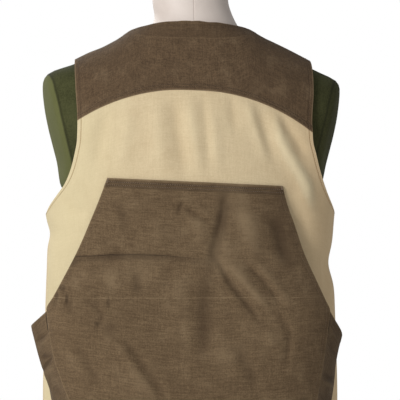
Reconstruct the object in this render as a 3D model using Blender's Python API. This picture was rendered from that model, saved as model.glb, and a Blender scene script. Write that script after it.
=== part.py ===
"""An unlined canvas gilet with a game pouch on its back, worn on an armless dress form.

Metres, +Z up. The wearer's front faces -Y and the wearer's left is +X. The origin is the middle of
the form's flat base. Every piece of cloth is a wall: its outer side is a point function of two
fractions, `along` (0 to 1 across the piece) and `down` (0 to 1 from its top edge), and its inner
side is the same points moved in by the cloth's thickness.
"""

import math
from bisect import bisect_right
from collections import namedtuple

import bmesh
import bpy
from mathutils import Vector

# Cloth
CLOTH = 0.0016
SEAM_GAP = 0.0003
HALF_SEAM = SEAM_GAP / 2

# Heights that the pieces share
HEM_HEIGHT = 0.085
UNDERARM_HEIGHT = 0.443
NECK_JOIN_HEIGHT = 0.728

# Back
SHOULDER_SEAM_DEPTH = 0.028
SHOULDER_TIP_HEIGHT = 0.690
NECK_POINT_REACH = 0.090
YOKE_SEAM_CENTRE = 0.6363
YOKE_SEAM_MIDDLE = 0.004
YOKE_SEAM_REACH = 0.1815
YOKE_SEAM_DROP = 0.0547
YOKE_SEAM_POWER = 2.25
YOKE_SEAM_TILT = 0.022
YOKE_SEAM_LIMIT = 1.2
SIDE_SEAM_ANGLE = math.radians(9.0)
SIDE_SEAM_SWING = 0.05
SIDE_SEAM_ROOM = 0.0005
UNDERARM_TURN = math.radians(10.0)
EDGE_HOLD = 8

# Front
FRONT_YOKE_HEIGHT = 0.612
FRONT_OVERLAP = 0.017
FRONT_NECK_REACH = 0.101
NECK_CURVE_POWER = 1.6
OVERLAP_LEVEL_REACH = 0.032
OVERLAP_RAMP = 0.036
BUTTON_COUNT = 5
BUTTON_RADIUS = 0.0095
BUTTON_THICKNESS = 0.0032
BUTTON_SIDES = 24
BUTTON_ROUNDING = 0.0007
TOP_BUTTON_HEIGHT = 0.470
BOTTOM_BUTTON_HEIGHT = 0.150

# Pouch
POUCH_HEM_HEIGHT = HEM_HEIGHT + 0.002
POUCH_TOP_HEIGHT = 0.494
POUCH_MOUTH_END = 0.297
GUSSET_CORNER_DROP_LEFT = 0.045
GUSSET_CORNER_DROP_RIGHT = 0.056
GUSSET_BULGE_LEFT = 0.022
GUSSET_BULGE_RIGHT = 0.014
GUSSET_SEAM_STAND = 1.3
GUSSET_HEM_RISE = 0.001
GUSSET_DROP_POWER = 3
GUSSET_SWELL_POWER = 0.8
POUCH_STAND = 0.0009
POUCH_FOLD_LIFT = 0.006
LEAST_LEAN = 0.2

# The point inside the shoulders from which the yokes' curves are drawn
RAY_CENTRE = 0.54
RAY_LENGTH = 0.30
BACK_NECK_TURN = math.radians(75.0)
FRONT_NECK_TURN = math.radians(80.0)

# How many steps each search by halving or repeating takes
HALVINGS = 40
DEPTH_STEPS = 20
SEAM_STEPS = 12

# How finely each piece is divided
SHOULDER_COLUMNS = 7
NECK_COLUMNS = 14
YOKE_ROWS = 9
ARMHOLE_ROWS = 9
ARMHOLE_ROW_POWER = 2.0
BODY_ROWS = 12
FRONT_COLUMNS = 14
FRONT_COLUMN_POWER = 1.25
POUCH_COLUMNS = 26
POUCH_ROWS = 20
GUSSET_COLUMNS = 5
GUSSET_ROWS = 12
FORM_ROWS = 26
NECK_ROWS = 9
CAP_COLUMNS = 5
ARC_COLUMNS = 6
POUCH_COLUMN_EASE = 0.35
FORM_ROW_POWER = 1.25
NECK_ROW_POWER = 1.3
WALL_STEP = 1e-4
SHARP_ANGLE = math.radians(50.0)

Section = namedtuple("Section", "height half_width back_depth front_depth squareness")
Edge = namedtuple("Edge", "height reach")
Armhole = namedtuple("Armhole", "height left right")
NeckPoint = namedtuple("NeckPoint", "x depth")
Rise = namedtuple("Rise", "x lift")
PouchSection = namedtuple(
    "PouchSection", "height left right tilt centre_lift left_lift right_lift"
)
SeamPoint = namedtuple("SeamPoint", "height angle")
Fold = namedtuple("Fold", "top_x top_z low_x low_z spread depth")
Dent = namedtuple("Dent", "height depth spread")
Finish = namedtuple("Finish", "colour roughness metallic")

# The garment's outer side, hem to neck. Above the underarm the sections run on past the armholes.
GARMENT = (
    Section(HEM_HEIGHT, 0.2350, 0.127, 0.133, 2.50),
    Section(0.150, 0.2350, 0.125, 0.131, 2.50),
    Section(0.300, 0.2310, 0.120, 0.129, 2.50),
    Section(0.400, 0.2280, 0.119, 0.131, 2.50),
    Section(UNDERARM_HEIGHT, 0.2305, 0.121, 0.134, 2.45),
    Section(0.500, 0.2450, 0.122, 0.133, 2.40),
    Section(0.550, 0.2620, 0.120, 0.128, 2.35),
    Section(0.600, 0.2720, 0.115, 0.118, 2.30),
    Section(0.640, 0.2620, 0.107, 0.105, 2.20),
    Section(0.660, 0.2430, 0.101, 0.097, 2.15),
    Section(0.676, 0.2170, 0.096, 0.089, 2.10),
    Section(0.690, 0.1896, 0.091, 0.082, 2.10),
    Section(0.7065, 0.1575, 0.085, 0.076, 2.10),
    Section(0.720, 0.1290, 0.080, 0.070, 2.10),
    Section(0.729, 0.1090, 0.077, 0.068, 2.10),
    Section(0.7355, 0.0970, 0.075, 0.066, 2.10),
    Section(0.741, 0.0865, 0.073, 0.065, 2.10),
    Section(0.748, 0.0760, 0.071, 0.064, 2.10),
)

# The dress form: hips, waist, chest, the arm stumps' width, shoulders and neck.
FORM = (
    Section(0.000, 0.1700, 0.103, 0.092, 2.20),
    Section(0.050, 0.1760, 0.108, 0.096, 2.20),
    Section(0.110, 0.1770, 0.108, 0.098, 2.20),
    Section(0.180, 0.1690, 0.100, 0.098, 2.20),
    Section(0.260, 0.1550, 0.084, 0.096, 2.20),
    Section(0.320, 0.1520, 0.080, 0.097, 2.20),
    Section(0.380, 0.1620, 0.089, 0.104, 2.20),
    Section(0.430, 0.1760, 0.100, 0.112, 2.20),
    Section(0.460, 0.1850, 0.106, 0.117, 2.20),
    Section(0.474, 0.1960, 0.109, 0.118, 2.20),
    Section(0.486, 0.2130, 0.111, 0.119, 2.20),
    Section(0.500, 0.2230, 0.112, 0.119, 2.20),
    Section(0.546, 0.2420, 0.113, 0.120, 2.25),
    Section(0.578, 0.2540, 0.112, 0.115, 2.25),
    Section(0.610, 0.2600, 0.108, 0.107, 2.25),
    Section(0.642, 0.2520, 0.100, 0.096, 2.20),
    Section(0.661, 0.2320, 0.094, 0.088, 2.15),
    Section(0.6805, 0.1900, 0.088, 0.080, 2.10),
    Section(0.7000, 0.1570, 0.082, 0.071, 2.10),
    Section(0.7175, 0.1285, 0.076, 0.066, 2.10),
    Section(0.7262, 0.1080, 0.073, 0.063, 2.10),
    Section(0.7300, 0.0940, 0.070, 0.060, 2.10),
    Section(0.7400, 0.0750, 0.067, 0.059, 2.05),
    Section(0.7500, 0.0658, 0.063, 0.058, 2.00),
    Section(0.7650, 0.0618, 0.058, 0.059, 2.00),
    Section(0.7860, 0.0605, 0.053, 0.061, 2.00),
    Section(0.8300, 0.0600, 0.050, 0.064, 2.00),
)
FORM_TOP = FORM[-1].height

# How far out the stumps' domed end caps let the form reach, where the arms would begin.
STUMP_CAP = (
    Edge(0.455, 0.1880),
    Edge(0.474, 0.1930),
    Edge(0.486, 0.2080),
    Edge(0.500, 0.2105),
    Edge(0.522, 0.2140),
    Edge(0.546, 0.2200),
    Edge(0.578, 0.2280),
    Edge(0.610, 0.2340),
    Edge(0.642, 0.2372),
    Edge(0.662, 0.2376),
    Edge(0.690, 0.2376),
)
CAP_TURN = math.tan(math.radians(8.0))
CAP_DOME_RADIUS = 0.30
CAP_SPAN = math.radians(44.0)
CAP_EDGE = 0.012
STUMP_SHIFT = -0.003
STUMP_TILT = 0.020
SHOULDER_DROP_START = 0.095
SHOULDER_DROP_FULL = 0.106
STUMP_START_REACH = 0.12
STUMP_FULL_REACH = 0.20
STUMP_START_HEIGHT = 0.46
STUMP_FULL_HEIGHT = 0.52
NECK_SHIFT = -0.0068
NECK_LEAN_START = 0.733
NECK_LEAN_FULL = 0.748
NECK_STRAIGHT_HEIGHT = 0.786
NECK_RIM = 0.006
NECK_RIM_TURNS = (math.radians(30.0), math.radians(60.0), math.radians(90.0))

ARMHOLE_BACK = (
    Armhole(UNDERARM_HEIGHT, 0.2305, 0.2310),
    Armhole(0.4565, 0.2237, 0.2235),
    Armhole(0.474, 0.2113, 0.2140),
    Armhole(0.492, 0.1986, 0.2062),
    Armhole(0.514, 0.1895, 0.1985),
    Armhole(0.537, 0.1836, 0.1922),
    Armhole(0.559, 0.1798, 0.1869),
    Armhole(0.587, 0.1790, 0.1855),
    Armhole(0.638, 0.1820, 0.1892),
    Armhole(SHOULDER_TIP_HEIGHT, 0.1842, 0.1904),
    Armhole(0.760, 0.1842, 0.1904),
)
ARMHOLE_FRONT = (
    Armhole(UNDERARM_HEIGHT, 0.2305, 0.2310),
    Armhole(0.455, 0.2190, 0.2190),
    Armhole(0.470, 0.2020, 0.2020),
    Armhole(0.490, 0.1860, 0.1870),
    Armhole(0.520, 0.1740, 0.1760),
    Armhole(0.560, 0.1690, 0.1710),
    Armhole(0.600, 0.1710, 0.1740),
    Armhole(0.640, 0.1770, 0.1820),
    Armhole(0.680, 0.1842, 0.1904),
    Armhole(0.760, 0.1842, 0.1904),
)

# The V neck and the front edge below it: how far each front reaches back from the overlap.
FRONT_EDGE = (
    Edge(0.070, -FRONT_OVERLAP),
    Edge(0.498, -FRONT_OVERLAP),
    Edge(0.520, -0.0060),
    Edge(0.560, 0.0230),
    Edge(0.600, 0.0500),
    Edge(0.640, 0.0730),
    Edge(0.680, 0.0905),
    Edge(0.715, 0.0995),
    Edge(0.734, FRONT_NECK_REACH),
    Edge(0.760, FRONT_NECK_REACH),
)

# The back neckline in plan: how deep it lies at each distance from the middle.
NECKLINE_PLAN = (
    NeckPoint(0.000, 0.0712),
    NeckPoint(0.022, 0.0695),
    NeckPoint(0.045, 0.0628),
    NeckPoint(0.069, 0.0490),
    NeckPoint(NECK_POINT_REACH, SHOULDER_SEAM_DEPTH),
)

# Small rises and drops of the neck and shoulder line, from the wearer's right to the left. They
# fade in with height.
TOP_LINE = (
    Rise(-0.120, 0.0000),
    Rise(-0.095, 0.0020),
    Rise(-0.045, 0.0018),
    Rise(-0.005, -0.0019),
    Rise(0.005, -0.0019),
    Rise(0.030, 0.0018),
    Rise(0.052, 0.0031),
    Rise(0.075, 0.0016),
    Rise(0.096, 0.0006),
    Rise(0.108, -0.0014),
    Rise(0.120, -0.0038),
    Rise(0.140, -0.0052),
    Rise(0.165, -0.0032),
    Rise(0.185, -0.0028),
    Rise(0.215, 0.0000),
)
TOP_LINE_START = 0.62
TOP_LINE_FULL = 0.69

# The pouch stands off the back: its reach to each side, the rise of its level lines toward the
# left, and its lift off the back in the middle and at each edge.
POUCH = (
    PouchSection(POUCH_TOP_HEIGHT, 0.1330, 0.1375, 0.0455, 0.000, 0.000, 0.000),
    PouchSection(0.4645, 0.1443, 0.1452, 0.0360, 0.003, 0.002, 0.002),
    PouchSection(0.434, 0.1570, 0.1559, 0.0280, 0.007, 0.006, 0.006),
    PouchSection(0.386, 0.1780, 0.1716, 0.0200, 0.015, 0.019, 0.017),
    PouchSection(0.3435, 0.2003, 0.1900, 0.0140, 0.022, 0.042, 0.034),
    PouchSection(0.315, 0.2160, 0.2025, 0.0110, 0.026, 0.062, 0.047),
    PouchSection(POUCH_MOUTH_END, 0.2260, 0.2100, 0.0100, 0.028, 0.076, 0.055),
    PouchSection(0.262, 0.2220, 0.2055, 0.0060, 0.031, 0.072, 0.052),
    PouchSection(0.2225, 0.2143, 0.2000, 0.0040, 0.032, 0.062, 0.048),
    PouchSection(0.196, 0.2055, 0.1960, 0.0020, 0.031, 0.052, 0.042),
    PouchSection(0.150, 0.1900, 0.1890, 0.0010, 0.026, 0.034, 0.032),
    PouchSection(0.115, 0.1850, 0.1860, 0.0000, 0.015, 0.018, 0.018),
    PouchSection(POUCH_HEM_HEIGHT, 0.1830, 0.1850, 0.0000, 0.000, 0.000, 0.000),
)

# Where the gussets are sewn to the back, as an angle round the body from the side.
GUSSET_SEAM = (
    SeamPoint(POUCH_HEM_HEIGHT, math.radians(34.0)),
    SeamPoint(0.150, math.radians(25.0)),
    SeamPoint(0.200, math.radians(18.0)),
    SeamPoint(0.262, math.radians(12.5)),
    SeamPoint(POUCH_MOUTH_END, math.radians(12.0)),
)

# Soft folds in the back panel, top to low end. A negative depth is a trough.
BACK_FOLDS = (
    Fold(0.036, 0.640, 0.026, 0.530, 0.013, -0.0028),
    Fold(0.064, 0.630, 0.059, 0.530, 0.014, 0.0016),
    Fold(-0.102, 0.622, -0.140, 0.520, 0.009, -0.0045),
    Fold(-0.120, 0.618, -0.186, 0.450, 0.012, 0.0050),
    Fold(-0.146, 0.610, -0.186, 0.550, 0.008, -0.0035),
    Fold(0.128, 0.605, 0.148, 0.530, 0.012, -0.0022),
)

FOLD_FADE = 0.030
FOLD_END_SHARE = 1.5

# Creases and soft hollows in the pouch panel.
POUCH_FOLDS = (
    Fold(-0.055, 0.488, -0.050, 0.385, 0.010, -0.0034),
    Fold(0.175, 0.378, -0.010, 0.376, 0.006, -0.0020),
    Fold(-0.040, 0.385, -0.125, 0.225, 0.011, 0.0030),
    Fold(-0.030, 0.360, -0.078, 0.290, 0.008, -0.0026),
    Fold(0.100, 0.310, 0.020, 0.150, 0.022, -0.0035),
    Fold(-0.120, 0.300, -0.150, 0.160, 0.015, -0.0025),
)

# Shallow dents where each side hangs in below the armhole.
LEFT_DENT = Dent(0.413, 0.0045, 0.016)
RIGHT_DENT = Dent(0.366, 0.0080, 0.026)
SIDE_DENT_REACH = 6

FINISHES = {
    "khaki": Finish((0.66, 0.55, 0.34, 1.0), 0.80, 0.0),
    "brown_yoke": Finish((0.100, 0.070, 0.045, 1.0), 0.85, 0.0),
    "brown_pouch": Finish((0.130, 0.090, 0.052, 1.0), 0.88, 0.0),
    "form_cover": Finish((0.052, 0.062, 0.022, 1.0), 0.90, 0.0),
    "form_neck": Finish((0.72, 0.65, 0.60, 1.0), 0.45, 0.0),
    "button_horn": Finish((0.070, 0.045, 0.028, 1.0), 0.35, 0.0),
}


def curve_through(rows, field, along="height"):
    """A smooth function through one named column of a table, which never overshoots."""
    ordered = sorted(rows, key=lambda row: getattr(row, along))
    heights = [getattr(row, along) for row in ordered]
    values = [getattr(row, field) for row in ordered]
    steps = [b - a for a, b in zip(heights, heights[1:])]
    slopes = [(b - a) / step for a, b, step in zip(values, values[1:], steps)]
    inner = [0.0 if a * b <= 0 else 2 * a * b / (a + b) for a, b in zip(slopes, slopes[1:])]
    tangents = [slopes[0], *inner, slopes[-1]]

    def value(height):
        held = min(max(height, heights[0]), heights[-1])
        i = min(max(bisect_right(heights, held) - 1, 0), len(steps) - 1)
        u = (held - heights[i]) / steps[i]
        return (
            values[i] * (1 + 2 * u) * (1 - u) ** 2
            + values[i + 1] * u * u * (3 - 2 * u)
            + tangents[i] * steps[i] * u * (1 - u) ** 2
            - tangents[i + 1] * steps[i] * u * u * (1 - u)
        )

    return value


def mix(a, b, share):
    return a + (b - a) * share


def signed_power(value, power):
    return math.copysign(abs(value) ** power, value)


class Shell:
    """A rounded upright shell given by level sections, each a rounded oval.

    Angle 0 is the wearer's left side, a quarter turn is the middle of the back.
    """

    STEP = 0.0004

    def __init__(self, rows):
        self.half_width = curve_through(rows, "half_width")
        self.back_depth = curve_through(rows, "back_depth")
        self.front_depth = curve_through(rows, "front_depth")
        self.squareness = curve_through(rows, "squareness")
        self.highest = max(row.height for row in rows)

    def depth_limit(self, y, height):
        return self.back_depth(height) if y >= 0 else self.front_depth(height)

    def point(self, angle, height):
        power = 2.0 / self.squareness(height)
        x = self.half_width(height) * signed_power(math.cos(angle), power)
        y_unit = signed_power(math.sin(angle), power)
        return Vector((x, y_unit * self.depth_limit(y_unit, height), height))

    def angle_at(self, x, height):
        """The angle on the back half where the section reaches x."""
        share = min(abs(x) / self.half_width(height), 1.0)
        angle = math.acos(min(share ** (self.squareness(height) / 2.0), 1.0))
        return angle if x >= 0 else math.pi - angle

    def depth_at(self, x, height):
        """How far back the shell lies at x."""
        return self.point(self.angle_at(x, height), height).y

    def measure(self, x, y, height):
        """Under 1 inside the shell, over 1 outside it."""
        n = self.squareness(height)
        across = (abs(x) / self.half_width(height)) ** n
        return across + (abs(y) / self.depth_limit(y, height)) ** n

    def along_ray(self, reach_at, turn):
        """The surface point met by a ray in a plane across the body.

        The ray leaves the shell's middle at RAY_CENTRE and rises by `turn` from straight back.
        reach_at(y, height) says how far from the middle the piece lies there.
        """
        low, high = 0.0, RAY_LENGTH
        for _ in range(HALVINGS):
            middle = (low + high) / 2
            y = middle * math.cos(turn)
            height = RAY_CENTRE + middle * math.sin(turn)
            if height < self.highest and self.measure(reach_at(y, height), y, height) < 1:
                low = middle
            else:
                high = middle
        y = low * math.cos(turn)
        height = RAY_CENTRE + low * math.sin(turn)
        return Vector((reach_at(y, height), y, height))

    def normal_at(self, point):
        """The direction straight out of the shell."""
        x, y, z = point
        step = self.STEP
        return Vector(
            (
                self.measure(x + step, y, z) - self.measure(x - step, y, z),
                self.measure(x, y + step, z) - self.measure(x, y - step, z),
                self.measure(x, y, z + step) - self.measure(x, y, z - step),
            )
        ).normalized()


garment = Shell(GARMENT)
form = Shell(FORM)
armholes_back = {
    1: curve_through(ARMHOLE_BACK, "left"),
    -1: curve_through(ARMHOLE_BACK, "right"),
}
armholes_front = {
    1: curve_through(ARMHOLE_FRONT, "left"),
    -1: curve_through(ARMHOLE_FRONT, "right"),
}
front_edge = curve_through(FRONT_EDGE, "reach")
neckline_depth = curve_through(NECKLINE_PLAN, "depth", "x")
top_lift = curve_through(TOP_LINE, "lift", "x")
cap_reach = curve_through(STUMP_CAP, "reach")
pouch_reach = {1: curve_through(POUCH, "left"), -1: curve_through(POUCH, "right")}
pouch_tilt = curve_through(POUCH, "tilt")
pouch_centre_lift = curve_through(POUCH, "centre_lift")
pouch_edge_lift = {1: curve_through(POUCH, "left_lift"), -1: curve_through(POUCH, "right_lift")}
gusset_seam_angle = curve_through(GUSSET_SEAM, "angle")


def soft_bump(distance, spread):
    return math.exp(-((distance / spread) ** 2))


def fold_relief(folds, x, z):
    """How far the folds move the cloth out at a point."""
    total = 0.0
    for fold in folds:
        run_x, run_z = fold.low_x - fold.top_x, fold.low_z - fold.top_z
        length = math.hypot(run_x, run_z)
        along = ((x - fold.top_x) * run_x + (z - fold.top_z) * run_z) / length
        across = ((x - fold.top_x) * run_z - (z - fold.top_z) * run_x) / length
        past_end = max(-along, along - length, 0.0)
        relief = fold.depth * soft_bump(across, fold.spread)
        total += relief * soft_bump(past_end, fold.spread * FOLD_END_SHARE)
    return total


def back_relief(x, z):
    """How far the back panel's folds move it out. They fade in below the yoke's seam."""
    start = min(max((yoke_seam_height(x) - z) / FOLD_FADE, 0.0), 1.0)
    return start * start * (3 - 2 * start) * fold_relief(BACK_FOLDS, x, z)


def side_dent(point, side):
    """How far the cloth hangs in at one side, just below the armhole."""
    dent = LEFT_DENT if side > 0 else RIGHT_DENT
    nearness = (abs(point.x) / garment.half_width(point.z)) ** SIDE_DENT_REACH
    return -dent.depth * soft_bump(point.z - dent.height, dent.spread) * nearness


def top_rise(x, z):
    """How far the neck and shoulder line rises above the even one."""
    return top_lift(x) * ramp(z, TOP_LINE_START, TOP_LINE_FULL)


def moved_out(point, lift, side=None):
    """A point of the garment's section moved straight out, with the side dents added.

    A point that is mirrored afterwards names the side that it ends up on.
    """
    dent = side_dent(point, side or side_of(point.x))
    rise = Vector((0, 0, top_rise(point.x * (side or 1), point.z)))
    return point + garment.normal_at(point) * (lift + dent) + rise


def wall(name, finish, surface, columns, rows, thickness=CLOTH):
    """A closed wall between the points of surface(along, down) and the same points moved in.

    columns and rows are the fractions at which the surface is taken.
    """

    def inward(along, down):
        low_along, high_along = max(along - WALL_STEP, 0.0), min(along + WALL_STEP, 1.0)
        low_down, high_down = max(down - WALL_STEP, 0.0), min(down + WALL_STEP, 1.0)
        across = surface(high_along, down) - surface(low_along, down)
        downward = surface(along, high_down) - surface(along, low_down)
        return across.cross(downward).normalized()

    outer = [[surface(a, d) for a in columns] for d in rows]
    inner = [
        [outer[i][j] + inward(a, d) * thickness for j, a in enumerate(columns)]
        for i, d in enumerate(rows)
    ]
    mesh = bmesh.new()
    out_verts = [[mesh.verts.new(p) for p in row] for row in outer]
    in_verts = [[mesh.verts.new(p) for p in row] for row in inner]
    last_row, last_column = len(rows) - 1, len(columns) - 1
    for i in range(last_row):
        for j in range(last_column):
            for verts, turned in ((out_verts, False), (in_verts, True)):
                ring = (verts[i][j], verts[i + 1][j], verts[i + 1][j + 1], verts[i][j + 1])
                mesh.faces.new(ring[::-1] if turned else ring)
    for i in range(last_row):
        for j in (0, last_column):
            ring = (out_verts[i][j], in_verts[i][j], in_verts[i + 1][j], out_verts[i + 1][j])
            mesh.faces.new(ring if j == 0 else ring[::-1])
    for j in range(last_column):
        for i in (0, last_row):
            ring = (out_verts[i][j], out_verts[i][j + 1], in_verts[i][j + 1], in_verts[i][j])
            mesh.faces.new(ring if i == 0 else ring[::-1])
    return placed(name, finish, mesh)


def placed(name, finish, mesh):
    """The finished object for a bmesh, facing out, smooth shaded, with its own material."""
    bmesh.ops.recalc_face_normals(mesh, faces=mesh.faces)
    data = bpy.data.meshes.new(name)
    mesh.to_mesh(data)
    mesh.free()
    data.shade_smooth()
    data.set_sharp_from_angle(angle=SHARP_ANGLE)
    data.materials.append(material(finish))
    obj = bpy.data.objects.new(name, data)
    bpy.context.scene.collection.objects.link(obj)
    return obj


def material(finish):
    found = bpy.data.materials.get(finish)
    if found:
        return found
    made = bpy.data.materials.new(finish)
    made.use_nodes = True
    shader = made.node_tree.nodes["Principled BSDF"]
    shader.inputs["Base Color"].default_value = FINISHES[finish].colour
    shader.inputs["Roughness"].default_value = FINISHES[finish].roughness
    shader.inputs["Metallic"].default_value = FINISHES[finish].metallic
    return made


def fractions(count):
    return [i / count for i in range(count + 1)]


def side_of(share):
    return 1 if share >= 0 else -1


def back_reach(share, height):
    """The x of a point of the back, a share of the way from its middle to its armhole."""
    return share * armholes_back[side_of(share)](height)


def yoke_seam_height(x):
    """The arched seam between the yoke and the back panel."""
    share = min(abs(x - YOKE_SEAM_MIDDLE) / YOKE_SEAM_REACH, YOKE_SEAM_LIMIT)
    return YOKE_SEAM_CENTRE - YOKE_SEAM_DROP * share**YOKE_SEAM_POWER + YOKE_SEAM_TILT * x


def yoke_seam_point(share):
    """Where the yoke seam crosses a column of the back, a share from -1 to 1 of its half width."""
    height = YOKE_SEAM_CENTRE
    for _ in range(SEAM_STEPS):
        height = yoke_seam_height(back_reach(share, height))
    return back_reach(share, height), height


def shoulder_reach(side):
    return armholes_back[side](SHOULDER_TIP_HEIGHT)


def back_columns():
    """Shares of the back's half width, left to right, with one at each neck point."""
    left = NECK_POINT_REACH / shoulder_reach(1)
    right = NECK_POINT_REACH / shoulder_reach(-1)
    near = [mix(1.0, left, f) for f in fractions(SHOULDER_COLUMNS)]
    middle = [mix(left, -right, f) for f in fractions(NECK_COLUMNS)]
    far = [mix(-right, -1.0, f) for f in fractions(SHOULDER_COLUMNS)]
    return [(1 - share) / 2 for share in near + middle[1:-1] + far]


def turn_to(y, height):
    """How far the ray to a point rises from straight back."""
    return math.atan2(height - RAY_CENTRE, y)


def turn_at_depth(reach_at, y, guess):
    """The ray turn whose surface point lies at depth y."""
    turn = guess
    for _ in range(DEPTH_STEPS):
        point = garment.along_ray(reach_at, turn)
        turn = turn_to(y, point.z)
    return turn


def build_back_yoke():
    def surface(along, down):
        share = 1 - 2 * along
        top_x = abs(share) * shoulder_reach(side_of(share))
        if top_x < NECK_POINT_REACH:
            top_y = neckline_depth(top_x)
        else:
            top_y = SHOULDER_SEAM_DEPTH + HALF_SEAM
        seam_x, seam_z = yoke_seam_point(share)
        seam_z += HALF_SEAM

        def reach_at(y, height):
            return back_reach(share, height)

        top_turn = turn_at_depth(reach_at, top_y, BACK_NECK_TURN)
        low_turn = turn_to(garment.depth_at(seam_x, seam_z), seam_z)
        return moved_out(garment.along_ray(reach_at, mix(top_turn, low_turn, down)), 0.0)

    return wall("back_yoke", "brown_yoke", surface, back_columns(), fractions(YOKE_ROWS))


def side_seam_angle(z):
    """The side seam starts at the underarm and swings a little to the back."""
    return SIDE_SEAM_ANGLE * min((UNDERARM_HEIGHT - z) / SIDE_SEAM_SWING, 1.0)


def eased_edge(edge, z):
    """The edge angle that a panel's columns follow away from its edge.

    It passes the underarm corner without the corner's sharp turn.
    """
    if z > UNDERARM_HEIGHT:
        return max(edge, UNDERARM_TURN)
    return edge + UNDERARM_TURN * (1 - min((UNDERARM_HEIGHT - z) / SIDE_SEAM_SWING, 1.0))


def back_panel_point(share, z, roundness=1.0):
    """A point of the back panel, a share of the way from its middle to its edge at a height.

    A roundness of 0 spaces the points evenly from side to side, and 1 evenly round the body.
    """
    if z > UNDERARM_HEIGHT:
        edge_angle = garment.angle_at(armholes_back[side_of(share)](z), z)
        flat_angle = garment.angle_at(back_reach(share, z), z)
    else:
        edge_angle = side_seam_angle(z) + SIDE_SEAM_ROOM / garment.half_width(z)
        flat_angle = garment.angle_at(share * garment.point(edge_angle, z).x, z)
    eased = eased_edge(edge_angle, z)
    turn = math.pi / 2 - abs(share) * (math.pi / 2 - eased)
    turn += (edge_angle - eased) * abs(share) ** EDGE_HOLD
    even_angle = turn if share >= 0 else math.pi - turn
    point = garment.point(mix(flat_angle, even_angle, roundness), z)
    return moved_out(point, back_relief(point.x, z))


def body_fractions():
    """Fractions down a panel that has armhole rows and then level body rows."""
    armhole = [1 - (1 - f) ** ARMHOLE_ROW_POWER for f in fractions(ARMHOLE_ROWS)]
    return [f / 2 for f in armhole] + [0.5 + f / 2 for f in fractions(BODY_ROWS)[1:]]


def panel_height(top, down):
    """Heights down a body panel: the first half of `down` is beside the armhole, the rest below it."""
    if down <= 0.5:
        return mix(top, UNDERARM_HEIGHT, down * 2)
    return mix(UNDERARM_HEIGHT, HEM_HEIGHT, down * 2 - 1)


def build_back_panel():
    def surface(along, down):
        share = 1 - 2 * along
        _, top = yoke_seam_point(share)
        z = panel_height(top - HALF_SEAM, down)
        return back_panel_point(share, z, min(2 * down, 1.0))

    return wall("back_panel", "khaki", surface, back_columns(), body_fractions())


def mirrored(surface, side):
    """The surface on the wearer's left as it is, or its mirror image on the right."""
    if side > 0:
        return surface

    def other(along, down):
        point = surface(1 - along, down)
        return Vector((-point.x, point.y, point.z))

    return other


def front_inner_edge(y, z):
    """How far from the middle the neckline or front edge lies."""
    if y > 0:
        share = (y / SHOULDER_SEAM_DEPTH) ** NECK_CURVE_POWER
        return mix(FRONT_NECK_REACH, NECK_POINT_REACH, share)
    return front_edge(z)


def build_front_yoke(side):
    def surface(along, down):
        low_z = FRONT_YOKE_HEIGHT + HALF_SEAM
        low_x = mix(front_edge(low_z), armholes_front[side](low_z), along)

        def reach_at(y, height):
            return mix(front_inner_edge(y, height), armholes_front[side](height), along)

        top_y = SHOULDER_SEAM_DEPTH - HALF_SEAM
        top_turn = turn_at_depth(reach_at, top_y, FRONT_NECK_TURN)
        low_y = garment.point(-garment.angle_at(low_x, low_z), low_z).y
        low_turn = turn_to(low_y, low_z)
        return moved_out(garment.along_ray(reach_at, mix(top_turn, low_turn, down)), 0.0, side)

    name = "front_yoke_left" if side > 0 else "front_yoke_right"
    columns = fractions(SHOULDER_COLUMNS)
    return wall(name, "brown_yoke", mirrored(surface, side), columns, fractions(YOKE_ROWS))


def overlap_lift(x):
    """The left front is raised over the right one near the middle."""
    share = min(max((OVERLAP_LEVEL_REACH + OVERLAP_RAMP - x) / OVERLAP_RAMP, 0.0), 1.0)
    return (CLOTH + SEAM_GAP) * share * share * (3 - 2 * share)


def front_angle(x, z):
    """The angle on the front half where the section reaches x."""
    return -garment.angle_at(x, z)


def front_panel_point(side, along, z):
    """A point of a front, as on the left: `along` runs from its front edge to its side seam."""
    inner_x = front_edge(z)
    inner_angle = front_angle(inner_x, z)
    if z > UNDERARM_HEIGHT:
        edge = -front_angle(armholes_front[side](z), z)
    else:
        edge = SIDE_SEAM_ROOM / garment.half_width(z) - side_seam_angle(z)
    eased = eased_edge(edge, z)
    even_angle = mix(inner_angle, -eased, along) - (edge - eased) * along**EDGE_HOLD
    if z <= UNDERARM_HEIGHT:
        return garment.point(even_angle, z)
    flat_angle = front_angle(mix(inner_x, armholes_front[side](z), along), z)
    roundness = min((FRONT_YOKE_HEIGHT - z) / (FRONT_YOKE_HEIGHT - UNDERARM_HEIGHT), 1.0)
    return garment.point(mix(flat_angle, even_angle, max(roundness, 0.0)), z)


def build_front_panel(side):
    def surface(along, down):
        z = panel_height(FRONT_YOKE_HEIGHT - HALF_SEAM, down)
        point = front_panel_point(side, along, z)
        lift = overlap_lift(point.x) if side > 0 else 0.0
        return moved_out(point, lift, side)

    name = "front_left" if side > 0 else "front_right"
    columns = [f**FRONT_COLUMN_POWER for f in fractions(FRONT_COLUMNS)]
    if side < 0:
        columns = [1 - f for f in reversed(columns)]
    return wall(name, "khaki", mirrored(surface, side), columns, body_fractions())


def pouch_point(share, height):
    """A point of the pouch panel's outer side, a share of its half width from the middle."""
    side = side_of(share)
    x = share * pouch_reach[side](height)
    z = height + pouch_tilt(height) * x
    rest = garment.depth_at(x, z) + back_relief(x, z)
    lift = mix(pouch_centre_lift(height), pouch_edge_lift[side](height), share * share)
    relief = fold_relief(POUCH_FOLDS, x, z) * min(lift / POUCH_FOLD_LIFT, 1.0)
    lean = 1 / max(garment.normal_at(Vector((x, rest, z))).y, LEAST_LEAN)
    return Vector((x, rest + (POUCH_STAND + CLOTH) * lean + lift + relief, z))


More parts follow.
